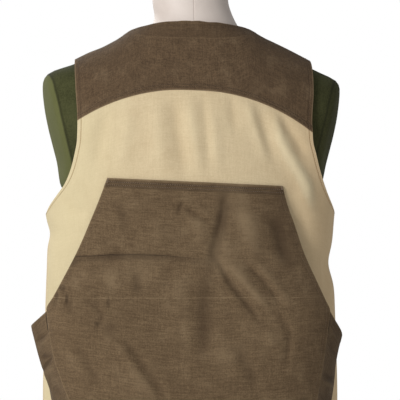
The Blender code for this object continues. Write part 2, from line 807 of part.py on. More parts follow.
def build_pouch_panel():
    def surface(along, down):
        return pouch_point(1 - 2 * along, mix(POUCH_TOP_HEIGHT, POUCH_HEM_HEIGHT, down))

    columns = []
    for f in fractions(POUCH_COLUMNS):
        eased = math.sin(math.pi * (f - 0.5)) / 2
        columns.append(0.5 + mix(f - 0.5, eased, POUCH_COLUMN_EASE))
    return wall("pouch_panel", "brown_pouch", surface, columns, fractions(POUCH_ROWS))


def build_gusset(side):
    """The strip that joins the pouch panel's folded side edge to the back."""

    def surface(along, down):
        level = mix(POUCH_MOUTH_END, POUCH_HEM_HEIGHT + GUSSET_HEM_RISE, down)
        stand = side * (SEAM_GAP + CLOTH * (1 - down))
        fold = pouch_point(side, level) + Vector((stand, 0, 0))
        corner_drop = GUSSET_CORNER_DROP_LEFT if side > 0 else GUSSET_CORNER_DROP_RIGHT
        drop = corner_drop * (1 - down) ** GUSSET_DROP_POWER
        seam_z = level - drop
        seam_angle = gusset_seam_angle(seam_z)
        if side < 0:
            seam_angle = math.pi - seam_angle
        body = garment.point(seam_angle, seam_z)
        seam = moved_out(body, SEAM_GAP + CLOTH * GUSSET_SEAM_STAND)
        point = fold.lerp(seam, along)
        point.z = level - drop * (1 - (1 - along) ** 2)
        bulge = GUSSET_BULGE_LEFT if side > 0 else GUSSET_BULGE_RIGHT
        rise = (1 - down) ** GUSSET_SWELL_POWER
        swell = bulge * rise * math.sin(math.pi * along**GUSSET_SWELL_POWER)
        point.x += side * swell
        return point

    name = "pouch_gusset_left" if side > 0 else "pouch_gusset_right"
    columns, rows = fractions(GUSSET_COLUMNS), fractions(GUSSET_ROWS)
    if side > 0:
        return wall(name, "brown_pouch", lambda a, d: surface(1 - a, d), columns, rows)
    return wall(name, "brown_pouch", surface, columns, rows)


def build_buttons():
    """A column of plain buttons on the left front, over the middle."""
    for i in range(BUTTON_COUNT):
        height = mix(TOP_BUTTON_HEIGHT, BOTTOM_BUTTON_HEIGHT, i / (BUTTON_COUNT - 1))
        front = garment.point(-math.pi / 2, height)
        lift = overlap_lift(0.0) + SEAM_GAP + BUTTON_THICKNESS / 2
        mesh = bmesh.new()
        bmesh.ops.create_cone(
            mesh,
            cap_ends=True,
            segments=BUTTON_SIDES,
            radius1=BUTTON_RADIUS,
            radius2=BUTTON_RADIUS,
            depth=BUTTON_THICKNESS,
        )
        rims = [e for e in mesh.edges if e.verts[0].co.z * e.verts[1].co.z > 0]
        bmesh.ops.bevel(
            mesh, geom=rims, offset=BUTTON_ROUNDING, segments=2, affect="EDGES", profile=0.5
        )
        button = placed(f"button_{i + 1}", "button_horn", mesh)
        out = garment.normal_at(front)
        button.rotation_mode = "QUATERNION"
        button.rotation_quaternion = out.to_track_quat("Z", "Y")
        button.location = front + out * lift


def cap_limit(y, height):
    """How far out the stump's end cap lies: turned a little to the back, and domed."""
    return cap_reach(height) - CAP_TURN * y - y * y / (2 * CAP_DOME_RADIUS)


def side_angles():
    """Angles round a quarter of the form, closer together at the stump's end cap."""
    cap = [mix(0.0, CAP_SPAN, f) for f in fractions(CAP_COLUMNS)]
    return cap + [mix(CAP_SPAN, math.pi / 2, f) for f in fractions(ARC_COLUMNS)[1:]]


def round_angles():
    quarter = side_angles()
    half = quarter + [math.pi - a for a in reversed(quarter[:-1])]
    return half + [math.pi + a for a in half[1:-1]]


def soft_least(a, b, reach):
    """The lesser of two lengths, rounded where they meet."""
    share = max(reach - abs(a - b), 0.0) / reach
    return min(a, b) - share * share * reach / 4


def ramp(value, start, end):
    """0 up to start, 1 from end on, smooth between."""
    share = min(max((value - start) / (end - start), 0.0), 1.0)
    return share * share * (3 - 2 * share)


def settled(point):
    """The form's small slants: the right stump sits lower and farther out, and the neck leans."""
    stump = ramp(abs(point.x), STUMP_START_REACH, STUMP_FULL_REACH)
    stump *= ramp(point.z, STUMP_START_HEIGHT, STUMP_FULL_HEIGHT)
    neck = ramp(point.z, NECK_LEAN_START, NECK_LEAN_FULL)
    neck *= 1 - ramp(point.z, NECK_LEAN_FULL, NECK_STRAIGHT_HEIGHT)
    sideways = STUMP_SHIFT * stump + NECK_SHIFT * neck
    drop = ramp(point.x, SHOULDER_DROP_START, SHOULDER_DROP_FULL) * top_rise(point.x, point.z)
    return point + Vector((sideways, 0, STUMP_TILT * point.x * stump + drop))


def form_ring(height):
    """The form's section with its sides cut off by the stumps' end caps."""
    ring = []
    for angle in round_angles():
        point = form.point(angle, height)
        limit = cap_limit(point.y, height)
        x = math.copysign(soft_least(abs(point.x), limit, CAP_EDGE), point.x)
        ring.append(settled(Vector((x, point.y, height))))
    return ring


def lofted(name, finish, rings):
    """A closed solid through rings of equal count, flat at both ends."""
    mesh = bmesh.new()
    loops = [[mesh.verts.new(p) for p in ring] for ring in rings]
    count = len(loops[0])
    for below, above in zip(loops, loops[1:]):
        for j in range(count):
            k = (j + 1) % count
            mesh.faces.new((below[j], below[k], above[k], above[j]))
    mesh.faces.new(loops[0][::-1])
    mesh.faces.new(loops[-1])
    return placed(name, finish, mesh)


def build_form():
    """The torso with its arm stumps, and the neck as a piece of its own."""
    join = NECK_JOIN_HEIGHT
    heights = []
    for f in fractions(FORM_ROWS):
        heights.append(join * (1 - (1 - f) ** FORM_ROW_POWER))
    lofted("form_torso", "form_cover", [form_ring(h) for h in heights])

    angles = round_angles()
    rim_foot = FORM_TOP - NECK_RIM
    rings = []
    for f in fractions(NECK_ROWS):
        height = mix(join + SEAM_GAP, rim_foot, f**NECK_ROW_POWER)
        rings.append([settled(form.point(a, height)) for a in angles])
    centre = Vector((0, (form.back_depth(FORM_TOP) - form.front_depth(FORM_TOP)) / 2, 0))
    for turn in NECK_RIM_TURNS:
        inset = NECK_RIM * (1 - math.cos(turn))
        lift = NECK_RIM * math.sin(turn)
        ring = []
        for angle in angles:
            point = form.point(angle, FORM_TOP)
            toward = (centre - Vector((point.x, point.y, 0))).normalized()
            ring.append(Vector((point.x, point.y, rim_foot + lift)) + toward * inset)
        rings.append(ring)
    lofted("form_neck", "form_neck", rings)


def main():
    for obj in list(bpy.data.objects):
        bpy.data.objects.remove(obj)
    build_form()
    build_back_yoke()
    build_back_panel()
    for side in (1, -1):
        build_front_yoke(side)
        build_front_panel(side)
        build_gusset(side)
    build_pouch_panel()
    build_buttons()


main()
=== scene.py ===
import math

import bpy
import numpy as np
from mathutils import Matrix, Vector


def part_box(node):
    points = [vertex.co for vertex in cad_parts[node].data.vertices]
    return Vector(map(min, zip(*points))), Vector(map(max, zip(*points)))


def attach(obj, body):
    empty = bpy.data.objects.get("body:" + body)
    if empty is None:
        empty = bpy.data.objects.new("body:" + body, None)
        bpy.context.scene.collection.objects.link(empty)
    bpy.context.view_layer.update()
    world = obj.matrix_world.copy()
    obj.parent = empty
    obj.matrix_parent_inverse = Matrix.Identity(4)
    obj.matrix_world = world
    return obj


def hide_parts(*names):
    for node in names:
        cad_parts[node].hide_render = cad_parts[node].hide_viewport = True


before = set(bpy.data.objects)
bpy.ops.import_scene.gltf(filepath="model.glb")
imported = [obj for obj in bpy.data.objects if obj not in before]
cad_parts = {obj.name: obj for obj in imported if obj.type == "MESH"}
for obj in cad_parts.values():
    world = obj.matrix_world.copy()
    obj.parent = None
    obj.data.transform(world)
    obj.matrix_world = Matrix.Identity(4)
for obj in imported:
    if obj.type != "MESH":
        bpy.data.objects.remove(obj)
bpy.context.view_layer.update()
print("frame loaded")

# the camera stands square behind the gilet, turned a little to its left
studio = {
    "turn": 3.0,
    "distance": 3.0,
    "aim": (-0.0155, 0.0008, 0.466),
    "pictureWidth": 0.64,
    "sensor": 36.0,
    "floorSize": 2.1,
    "floorColour": (0.86, 0.85, 0.83, 1.0),
    "air": 0.38,
    "lampAim": (0.0, 0.0, 0.45),
    "lamps": (     # name, place, size, power
        ("keyLamp", (1.95, 2.3, 1.3), 0.9, 76.0),
        ("fillLamp", (-2.4, 1.6, 1.3), 2.2, 0.6),
        ("frontLamp", (1.4, -2.4, 1.9), 1.8, 42.0),
    ),
}


def addLamp(name, place, size, power):
    run = np.array(studio["lampAim"]) - np.array(place)
    tilt = math.atan2(math.hypot(run[0], run[1]), -run[2])
    turn = math.atan2(run[1], run[0]) - math.pi / 2
    bpy.ops.object.light_add(type="AREA", location=place, rotation=(tilt, 0.0, turn))
    lamp = bpy.context.object
    lamp.name = name
    lamp.data.size = size
    lamp.data.energy = power


def setStudio():
    turn = math.radians(studio["turn"])
    x, y, z = studio["aim"]
    reach = studio["distance"]
    stand = (x + reach * math.sin(turn), y + reach * math.cos(turn), z)
    bpy.ops.object.camera_add(location=stand, rotation=(math.pi / 2, 0, math.pi - turn))
    camera = bpy.context.object
    camera.data.sensor_width = studio["sensor"]
    camera.data.lens = studio["sensor"] * reach / studio["pictureWidth"]
    for lamp in studio["lamps"]:
        addLamp(*lamp)
    scene = bpy.context.scene
    scene.camera = camera
    scene.view_settings.view_transform = "Standard"
    # the air is white where the camera sees it, and gives a softer light
    world = bpy.data.worlds.new("studioAir")
    scene.world = world
    world.use_nodes = True
    nodes, links = world.node_tree.nodes, world.node_tree.links
    sky = nodes["Background"]
    sky.inputs["Color"].default_value = (1, 1, 1, 1)
    seen = nodes.new("ShaderNodeLightPath")
    bright = nodes.new("ShaderNodeMapRange")
    bright.inputs["To Min"].default_value = studio["air"]
    bright.inputs["To Max"].default_value = 1.0
    links.new(seen.outputs["Is Camera Ray"], bright.inputs["Value"])
    links.new(bright.outputs["Result"], sky.inputs["Strength"])


# shader maths on sockets: an expression adds its own nodes
def mathsOf(operation, turned=False):
    def made(self, *others):
        values = (*others, self) if turned else (self, *others)
        return self.look.add("ShaderNodeMath", {"operation": operation}, dict(enumerate(values)))

    return made


class Signal:
    def __init__(self, look, socket):
        self.look = look
        self.socket = socket

    __add__ = __radd__ = mathsOf("ADD")
    __sub__ = mathsOf("SUBTRACT")
    __rsub__ = mathsOf("SUBTRACT", True)
    __mul__ = __rmul__ = mathsOf("MULTIPLY")
    __truediv__ = mathsOf("DIVIDE")
    __pow__ = mathsOf("POWER")
    __abs__ = mathsOf("ABSOLUTE")
    wave = mathsOf("SINE")

    def step(self, low, high):
        values = {"Value": self, "From Min": low, "From Max": high}
        return self.look.add("ShaderNodeMapRange", {"interpolation_type": "SMOOTHSTEP"}, values)


class Look:
    def __init__(self, name):
        self.material = bpy.data.materials.new(name)
        self.material.use_nodes = True
        self.tree = self.material.node_tree
        self.shader = self.tree.nodes["Principled BSDF"]

    def feed(self, socket, value):
        if isinstance(value, Signal):
            self.tree.links.new(value.socket, socket)
        else:
            socket.default_value = value

    def add(self, kind, settings=None, sockets=None, out=0):
        made = self.tree.nodes.new(kind)
        for key, value in (settings or {}).items():
            setattr(made, key, value)
        for key, value in (sockets or {}).items():
            self.feed(made.inputs[key], value)
        return Signal(self, made.outputs[out])

    def split(self, vector):
        made = self.tree.nodes.new("ShaderNodeSeparateXYZ")
        self.feed(made.inputs[0], vector)
        return [Signal(self, socket) for socket in made.outputs]

    def cloth(self):
        return self.split(self.add("ShaderNodeUVMap", {"uv_map": "cut"}))[:2]

    def place(self):
        return self.split(self.add("ShaderNodeTexCoord", out="Object"))

    def reading(self, name):
        return self.add("ShaderNodeAttribute", {"attribute_name": name}, out="Fac")

    def noise(self, x, y, z, detail=2.0, roughness=0.5):
        spot = self.add("ShaderNodeCombineXYZ", None, {0: x, 1: y, 2: z})
        values = {"Vector": spot, "Scale": 1.0, "Detail": detail, "Roughness": roughness}
        return self.add("ShaderNodeTexNoise", None, values)

    def layer(self, colour, *coats):
        # each coat is a share and a colour that covers what is under it
        for share, coat in coats:
            values = {0: share, 6: colour, 7: coat}
            colour = self.add("ShaderNodeMix", {"data_type": "RGBA"}, values, out=2)
        return colour

    def finish(self, colour, roughness, height, sheen=0.0, gloss=0.5):
        self.feed(self.shader.inputs["Base Color"], colour)
        self.feed(self.shader.inputs["Roughness"], roughness)
        bump = self.add("ShaderNodeBump", None, {"Height": height, "Distance": 0.001, "Strength": 1.0})
        self.feed(self.shader.inputs["Normal"], bump)
        self.shader.inputs["Sheen Weight"].default_value = sheen
        self.shader.inputs["Sheen Roughness"].default_value = 0.5
        self.shader.inputs["Specular IOR Level"].default_value = gloss
        return self.material


tiny = 1e-12


def tone(red, green, blue):
    # a colour given 0 to 255, as the shader wants it
    linear = []
    for part in (red, green, blue):
        share = part / 255
        linear.append(share / 12.92 if share <= 0.04045 else ((share + 0.055) / 1.055) ** 2.4)
    return (*linear, 1.0)


def curveThrough(rows, column, unit=1000):
    # a smooth curve with no overshoot through a table in millimetres; the result is in metres,
    # rounded, because places on a seam are compared with it
    ordered = np.array(sorted(rows), float)
    heights, values = np.round(ordered[:, 0] / 1000, 9), np.round(ordered[:, column] / unit, 9)
    steps = np.diff(heights)
    slopes = np.diff(values) / steps
    before, after = slopes[:-1], slopes[1:]
    same = before * after > 0
    inner = np.where(same, 2 * before * after / np.where(same, before + after, 1.0), 0.0)
    tangents = np.concatenate([slopes[:1], inner, slopes[-1:]])

    def value(height):
        held = np.clip(height, heights[0], heights[-1])
        i = np.clip(np.searchsorted(heights, held, side="right") - 1, 0, len(steps) - 1)
        u = (held - heights[i]) / steps[i]
        return (
            values[i] * (1 + 2 * u) * (1 - u) ** 2
            + values[i + 1] * u * u * (3 - 2 * u)
            + tangents[i] * steps[i] * u * (1 - u) ** 2
            - tangents[i + 1] * steps[i] * u * u * (1 - u)
        )

    return value


def mix(a, b, share):
    return a + (b - a) * share


def ramp(value, start, end):
    share = np.clip((value - start) / (end - start), 0.0, 1.0)
    return share * share * (3 - 2 * share)


def signedPower(value, power):
    return np.sign(value) * np.abs(value) ** power


def fractions(count, power=1.0):
    return (np.arange(count + 1) / count) ** power


def asPoints(x, y, z):
    return np.stack(np.broadcast_arrays(x, y, z), -1)


def unit(vectors):
    return vectors / (np.linalg.norm(vectors, axis=-1, keepdims=True) + tiny)


def arcs(points, axis):
    steps = np.linalg.norm(np.diff(points, axis=axis), axis=-1)
    start = np.zeros_like(steps.take([0], axis=axis))
    return np.concatenate([start, np.cumsum(steps, axis=axis)], axis=axis)


def bySide(curves, share, z):
    # the left curve where the share is positive, the right one elsewhere
    return np.where(share >= 0, curves[1](z), curves[-1](z))


# a rounded shell given by level rings: height, half width, depth behind, depth in front, all in
# millimetres, and squareness
class Shell:
    def __init__(self, rings):
        self.halfWidth = curveThrough(rings, 1)
        self.behind = curveThrough(rings, 2)
        self.inFront = curveThrough(rings, 3)
        self.squareness = curveThrough(rings, 4, 1)
        self.top = max(ring[0] for ring in rings) / 1000

    def depthLimit(self, y, z):
        return np.where(y >= 0, self.behind(z), self.inFront(z))

    def point(self, angle, z):
        power = 2.0 / self.squareness(z)
        x = self.halfWidth(z) * signedPower(np.cos(angle), power)
        y = signedPower(np.sin(angle), power)
        return asPoints(x, y * self.depthLimit(y, z), z)

    def angleAt(self, x, z):
        share = np.clip(np.abs(x) / self.halfWidth(z), 0.0, 1.0)
        angle = np.arccos(np.clip(share ** (self.squareness(z) / 2), 0.0, 1.0))
        return np.where(x >= 0, angle, math.pi - angle)

    def depthAt(self, x, z):
        return self.point(self.angleAt(x, z), z)[..., 1]

    def measure(self, x, y, z):
        n = self.squareness(z)
        return (np.abs(x) / self.halfWidth(z)) ** n + (np.abs(y) / self.depthLimit(y, z)) ** n

    def outwards(self, points):
        step = 0.0004
        x, y, z = points[..., 0], points[..., 1], points[..., 2]
        return unit(asPoints(
            self.measure(x + step, y, z) - self.measure(x - step, y, z),
            self.measure(x, y + step, z) - self.measure(x, y - step, z),
            self.measure(x, y, z + step) - self.measure(x, y, z - step),
        ))

    def alongRay(self, reachAt, turn):
        # halves the ray again and again until it ends on the shell
        def at(length):
            return length * np.cos(turn), cut["rayCentre"] + length * np.sin(turn)

        low, high = np.zeros_like(turn), np.full_like(turn, cut["rayLength"])
        for _ in range(36):
            middle = (low + high) / 2
            y, z = at(middle)
            inside = (z < self.top) & (self.measure(reachAt(y, z), y, z) < 1)
            low, high = np.where(inside, middle, low), np.where(inside, high, middle)
        y, z = at(low)
        return asPoints(reachAt(y, z), y, z)


# sizes that all of the gilet's pieces share, in metres, and its tables in millimetres
cut = {
    "cloth": 0.0016,
    "turnUp": 0.02,
    "rowInset": 0.0015,
    "armhem": 0.007,
    "seamGap": 0.0003,
    "sideGap": 0.0005,
    "hem": 0.085,
    "underarm": 0.443,
    "shoulderSeam": 0.028,
    "shoulderTip": 0.69,
    "neckReach": 0.09,
    "rayCentre": 0.54,
    "rayLength": 0.3,
    "sideSeam": math.radians(9.0),
    "sideSwing": 0.05,
    "underarmTurn": math.radians(10.0),
    "yokeSeam": {
        "height": 0.6363, "middle": 0.004, "reach": 0.1815, "drop": 0.0547, "power": 2.25, "tilt": 0.022,
    },
    "frontYoke": 0.612,
    "rings": (
        (85, 235, 127, 133, 2.5), (150, 235, 125, 131, 2.5), (300, 231, 120, 129, 2.5),
        (400, 228, 119, 131, 2.5), (443, 230.5, 121, 134, 2.45), (500, 245, 122, 133, 2.4),
        (550, 262, 120, 128, 2.35), (600, 272, 115, 118, 2.3), (640, 262, 107, 105, 2.2),
        (660, 243, 101, 97, 2.15), (676, 217, 96, 89, 2.1), (690, 189.6, 91, 82, 2.1),
        (706.5, 157.5, 85, 76, 2.1), (720, 129, 80, 70, 2.1), (729, 109, 77, 68, 2.1),
        (735.5, 97, 75, 66, 2.1), (741, 86.5, 73, 65, 2.1), (748, 76, 71, 64, 2.1),
    ),
    "armholeBehind": (
        (443, 230.5, 231), (456.5, 223.7, 223.5), (474, 211.3, 214), (492, 198.6, 206.2),
        (514, 189.5, 198.5), (537, 183.6, 192.2), (559, 179.8, 186.9), (587, 179, 185.5), (638, 182, 189.2),
        (690, 184.2, 190.4), (760, 184.2, 190.4),
    ),
    "armholeInFront": (
        (443, 230.5, 231), (455, 219, 219), (470, 202, 202), (490, 186, 187), (520, 174, 176),
        (560, 169, 171), (600, 171, 174), (640, 177, 182), (680, 184.2, 190.4), (760, 184.2, 190.4),
    ),
    "frontEdge": (
        (70, -17), (498, -17), (520, -6), (560, 23), (600, 50), (640, 73), (680, 90.5), (715, 99.5),
        (734, 101), (760, 101),
    ),
    "neckline": ((0, 71.2), (22, 69.5), (45, 62.8), (69, 49), (90, 28)),
    "topLine": (
        (-120, 0), (-95, 2), (-45, 1.8), (-5, -1.9), (5, -1.9), (30, 1.8), (52, 3.1), (75, 1.6), (96, 0.6),
        (108, -1.4), (120, -3.8), (140, -5.2), (165, -3.2), (185, -2.8), (215, 0),
    ),
    "topReach": (0.62, 0.69),
    "leftDent": (0.413, 0.0045, 0.016),      # height, depth, spread
    "rightDent": (0.366, 0.008, 0.026),
}
garment = Shell(cut["rings"])
armholeBehind = {1: curveThrough(cut["armholeBehind"], 1), -1: curveThrough(cut["armholeBehind"], 2)}
armholeInFront = {1: curveThrough(cut["armholeInFront"], 1), -1: curveThrough(cut["armholeInFront"], 2)}
frontEdge = curveThrough(cut["frontEdge"], 1)
necklineDepth = curveThrough(cut["neckline"], 1)
topLift = curveThrough(cut["topLine"], 1)
sheets = {}
sideWords = {1: "left", -1: "right"}
bottomHem = ("fromBottom", cut["turnUp"], (cut["turnUp"] - cut["rowInset"],), 0.6, 0.1)


def softBump(distance, spread):
    return np.exp(-((distance / spread) ** 2))


def creaseRelief(creases, x, z):
    # each crease follows a run of (x, z) spots, tapers at both ends, and has a spread and a depth;
    # all in millimetres
    total = np.zeros(np.broadcast(x, z).shape)
    for spots, spread, depth in creases:
        spots = np.array(spots, float) / 1000
        starts = arcs(spots, 0)
        nearest = np.full(total.shape, 1e9)
        travelled = np.zeros(total.shape)
        for (ax, az), (bx, bz), length, start in zip(spots, spots[1:], np.diff(starts), starts):
            t = np.clip(((x - ax) * (bx - ax) + (z - az) * (bz - az)) / length**2, 0.0, 1.0)
            away = np.hypot(x - mix(ax, bx, t), z - mix(az, bz, t))
            closer = away < nearest
            nearest = np.where(closer, away, nearest)
            travelled = np.where(closer, start + t * length, travelled)
        whole = starts[-1]
        taper = ramp(travelled, 0, 0.3 * whole) * ramp(whole - travelled, 0, 0.3 * whole)
        total += depth / 1000 * (0.15 + 0.85 * taper) * softBump(nearest, spread / 1000)
    return total


def sideDent(x, z):
    def dent(height, depth, spread):
        return depth * softBump(z - height, spread)

    near = (np.abs(x) / garment.halfWidth(z)) ** 6
    return -np.where(x > 0, dent(*cut["leftDent"]), dent(*cut["rightDent"])) * near


def topRise(x, z):
    return topLift(x) * ramp(z, *cut["topReach"])


def movedOut(points, lift, side=1):
    # a piece that is turned over afterwards names the side it ends up on
    x, z = points[..., 0] * side, points[..., 2]
    out = garment.outwards(points) * (lift + sideDent(x, z))[..., None]
    return points + out + asPoints(0, 0, topRise(x, z))


def selectNone():
    if bpy.context.object and bpy.context.object.mode != "OBJECT":
        bpy.ops.object.mode_set(mode="OBJECT")
    bpy.ops.object.select_all(action="DESELECT")


def applyModifier(piece, kind, **settings):
    made = piece.modifiers.new(kind, kind)
    for key, value in settings.items():
        setattr(made, key, value)
    bpy.ops.object.modifier_apply(modifier=made.name)


def spotsOf(mesh):
    spots = np.empty(len(mesh.vertices) * 3)
    mesh.vertices.foreach_get("co", spots)
    return spots.reshape(-1, 3)


def gridPiece(name, surface, columns, rows, folds=None):
    # a flat grid whose points are moved to where the cloth lies; its UV map holds the flat cut in metres
    points = surface(np.asarray(columns)[None, :], np.asarray(rows)[:, None])
    rowCount, columnCount = points.shape[:2]
    selectNone()
    bpy.ops.mesh.primitive_grid_add(x_subdivisions=columnCount - 1, y_subdivisions=rowCount - 1, size=1)
    piece = bpy.context.object
    mesh = piece.data
    piece.name = mesh.name = name
    flat = spotsOf(mesh)
    column = np.rint((flat[:, 0] + 0.5) * (columnCount - 1)).astype(int)
    row = np.rint((0.5 - flat[:, 1]) * (rowCount - 1)).astype(int)
    mesh.vertices.foreach_set("co", points[row, column].ravel())
    mesh.update()
    across, downward = arcs(points, 1), arcs(points, 0)
    readings = {
        "fromLeft": across,
        "fromRight": across[:, -1:] - across,
        "fromTop": downward,
        "fromBottom": downward[-1:, :] - downward,
        "fold": folds(points) if folds else 0 * across,
    }
    for key, values in readings.items():
        addReading(mesh, key, values[row, column])
    corner = np.empty(len(mesh.loops), np.int32)
    mesh.loops.foreach_get("vertex_index", corner)
    fromMiddle = across - across[:, columnCount // 2][:, None]
    flatCut = np.stack([fromMiddle[row, column], -downward[row, column]], -1)
    layer = mesh.uv_layers.active or mesh.uv_layers.new(name="cut")
    layer.name = "cut"
    layer.data.foreach_set("uv", flatCut[corner].ravel().astype(np.float32))
    normals = unit(np.cross(np.gradient(points, axis=1), -np.gradient(points, axis=0)))
    sheets[name] = {"points": points, "normals": normals, "across": across, "downward": downward}
    return piece


def addReading(mesh, key, values):
    mesh.attributes.new(key, "FLOAT", "POINT").data.foreach_set("value", values.astype(np.float32))


def dress(piece, material, node, smoothAngle):
    bpy.ops.object.shade_smooth_by_angle(angle=math.radians(smoothAngle))
    piece.data.materials.clear()
    piece.data.materials.append(material)
    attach(piece, "root")
    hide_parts(node)


def clothPiece(name, surface, columns, rows, material, node, folds=None):
    piece = gridPiece(name, surface, columns, rows, folds)
    applyModifier(piece, "SOLIDIFY", thickness=cut["cloth"], offset=-1.0)
    dress(piece, material, node, 50)


# the khaki body canvas, the brown canvas of the yokes, and the linen-like brown of the pouch
canvases = {
    "khakiCanvas": {
        "base": tone(214, 195, 159),
        "dark": tone(196, 176, 141),
        "pale": tone(232, 217, 180),
        "soil": tone(168, 138, 98),
        # fold: the share of painted shade with dirt in troughs, and of painted highlight with rubbing on
        # ridges
        "fold": (0.22, 0.5),
        "threads": (40.0, 760.0, 0.5, 1.1),
        "grain": 0.9,
        "patches": 0.14,
        "weave": (0.00062, 0.05),
        "threadHeight": 0.1,
        "roughness": 0.88,
        "sheen": 0.03,
    },
    "yokeCanvas": {
        "base": tone(104, 84, 62),
        "dark": tone(74, 58, 42),
        "pale": tone(146, 124, 96),
        "soil": tone(62, 47, 33),
        "fold": (0.5, 0.2),
        "threads": (60.0, 640.0, 0.5, 1.5),
        "grain": 1.5,
        "patches": 0.26,
        "weave": (0.00075, 0.08),
        "threadHeight": 0.2,
        "roughness": 0.9,
        "sheen": 0.02,
    },
    "pouchLinen": {
        "base": tone(119, 99, 74),
        "dark": tone(82, 65, 46),
        "pale": tone(150, 129, 100),
        "soil": tone(66, 51, 36),
        "fold": (0.62, 0.34),
        "threads": (46.0, 600.0, 0.68, 1.2),
        "grain": 1.0,
        "patches": 0.22,
        "weave": (0.00085, 0.08),
        "threadHeight": 0.22,
        "roughness": 0.92,
        "sheen": 0.02,
    },
}
# how far from its edge or its row each trace of sewing, wear and painted edge highlight reaches, in metres
trace = {
    "rub": (0.0004, 0.0026),
    "rubDrift": 0.004,
    "hem": 0.0014,
    "row": 0.0013,
    "dip": 0.002,
    "pucker": 0.005,
    "dotTurns": 1850,
    "puckerTurns": 700,
    "armRow": 0.0012,
    "armFade": 0.004,
}


def line(signal, place, halfWidth):
    # 1 on a thin line where the signal crosses a value, 0 away from it
    return 1 - abs(signal - place).step(0, halfWidth)


def canvasLook(name, hems, marks=None):
    # each hem: edge reading, hem width, rows of stitching from the edge, how strong, how much its edge is
    # rubbed pale with a painted highlight
    kind = canvases[name.split(".")[0]]
    look = Look(name.replace(".", "_"))
    dark, pale, soil = kind["dark"], kind["pale"], kind["soil"]
    u, v = look.cloth()
    x, y, z = look.place()
    long, fine, weftShare, contrast = kind["threads"]
    weft = look.noise(u * long, v * fine, 1.7)
    warp = look.noise(u * fine, v * long, 8.3)
    grain = look.noise(u * 520, v * 520, 4.4, 2.0, 0.6)
    mottle = look.noise(x * 34, y * 34, z * 34, 5.0, 0.66)
    faded = look.noise(x * 7.0, y * 7.0, z * 7.0 + 3.1, 3.0, 0.55)
    thread = weft * weftShare + warp * (1 - weftShare) - 0.5
    shade = thread * contrast + (grain - 0.5) * kind["grain"] + 0.5
    # painted crease shade with dirt darkens the troughs, and a painted highlight with rubbing pales the
    # ridges
    fold = look.reading("fold") + (mottle - 0.5) * 0.25
    troughShadeAndDirt, ridgeHighlightAndRub = kind["fold"]
    colour = look.layer(
        dark,
        (shade.step(0.05, 0.95), kind["base"]),
        (mottle.step(0.5, 0.74) * kind["patches"], pale),
        ((1 - mottle.step(0.28, 0.48)) * kind["patches"], soil),
        ((1 - faded.step(0.36, 0.6)) * kind["patches"] * 0.8, dark),
        ((0 - fold).step(0.0, 1.3) * troughShadeAndDirt, soil),
        (fold.step(0.0, 1.3) * ridgeHighlightAndRub, pale),
    )
    pitch, weaveHeight = kind["weave"]
    turn = 2 * math.pi / pitch
    height = (u * turn).wave() * (v * turn).wave() * weaveHeight
    height = height + (weft + warp + grain - 1.5) * kind["threadHeight"]
    dots = ((u + v) * trace["dotTurns"]).wave() * 0.35 + 0.65
    pucker = ((u + v) * trace["puckerTurns"]).wave() * 0.22
    for edge, width, rows, strength, worn in hems:
        away = look.reading(edge)
        # the edge is rubbed pale, partly wear and partly a painted highlight along the turned edge
        rubbedAndHighlit = 1 - (away + (mottle - 0.5) * trace["rubDrift"]).step(*trace["rub"])
        colour = look.layer(colour, (rubbedAndHighlit * worn, pale))
        height = height - line(away, width, trace["hem"]) * 0.5 * strength
        for row in rows:
            colour = look.layer(colour, (line(away, row, trace["row"]) * dots * strength, soil))
            height = height - line(away, row, trace["dip"]) * 0.8 * strength
            height = height + line(away, row, trace["pucker"]) * pucker * strength
    if marks:
        colour, height = marks(look, kind, colour, height, x, y, z)
    return look.finish(colour, kind["roughness"] - mottle * 0.06, height, kind["sheen"], 0.18)


def armholeRow(look, kind, colour, height, z, edge):
    # the stitching of an armhole's turned hem, from the underarm up
    up = z.step(cut["underarm"] - trace["armFade"], cut["underarm"] + trace["armFade"])
    row = line(look.reading(edge), cut["armhem"], trace["armRow"]) * up
    return look.layer(colour, (row * 0.8, kind["soil"])), height - row * 0.6


def backReach(share, z):
    return share * bySide(armholeBehind, share, z)


def yokeSeamHeight(x):
    seam = cut["yokeSeam"]
    share = np.minimum(np.abs(x - seam["middle"]) / seam["reach"], 1.2)
    return seam["height"] - seam["drop"] * share ** seam["power"] + seam["tilt"] * x


def yokeSeamPoint(share):
    z = np.full(np.shape(share), cut["yokeSeam"]["height"])
    for _ in range(12):
        z = yokeSeamHeight(backReach(share, z))
    return backReach(share, z), z


def turnTo(y, z):
    return np.arctan2(z - cut["rayCentre"], y)


def turnAtDepth(reachAt, y, guess):
    turn = np.full(np.shape(y), guess)
    for _ in range(20):
        turn = turnTo(y, garment.alongRay(reachAt, turn)[..., 2])
    return turn


def backColumns(shoulder, neck):
    left = cut["neckReach"] / armholeBehind[1](cut["shoulderTip"])
    right = cut["neckReach"] / armholeBehind[-1](cut["shoulderTip"])
    shares = np.concatenate(
        [
            mix(1.0, left, fractions(shoulder)),
            mix(left, -right, fractions(neck))[1:-1],
            mix(-right, -1.0, fractions(shoulder)),
        ]
    )
    return (1 - shares) / 2


yoke = {
    "columns": (34, 64),
    "rows": 72,
    "seamLap": 0.0007,
    "seamLift": 0.0009,
    "seamReach": 0.011,
    "creases": (
        (((75, 705), (66, 668)), 12, -1.2), (((-70, 703), (-62, 660)), 13, -1.2),
        (((150, 672), (132, 618)), 13, 1.2), (((-155, 668), (-140, 612)), 13, 1.4),
        (((20, 700), (12, 650)), 15, -0.8),
    ),
    "topstitch": (0.0055, 0.0095),
    "seamHem": 0.011,
    "hem": 0.0085,
    "hemRow": 0.0075,
    "facing": {"middle": 0.004, "ends": (0.075, 0.115), "edge": (0.0275, 0.029), "line": (0.0292, 0.0016)},
    "topHem": (0.0075, 0.0065),
}


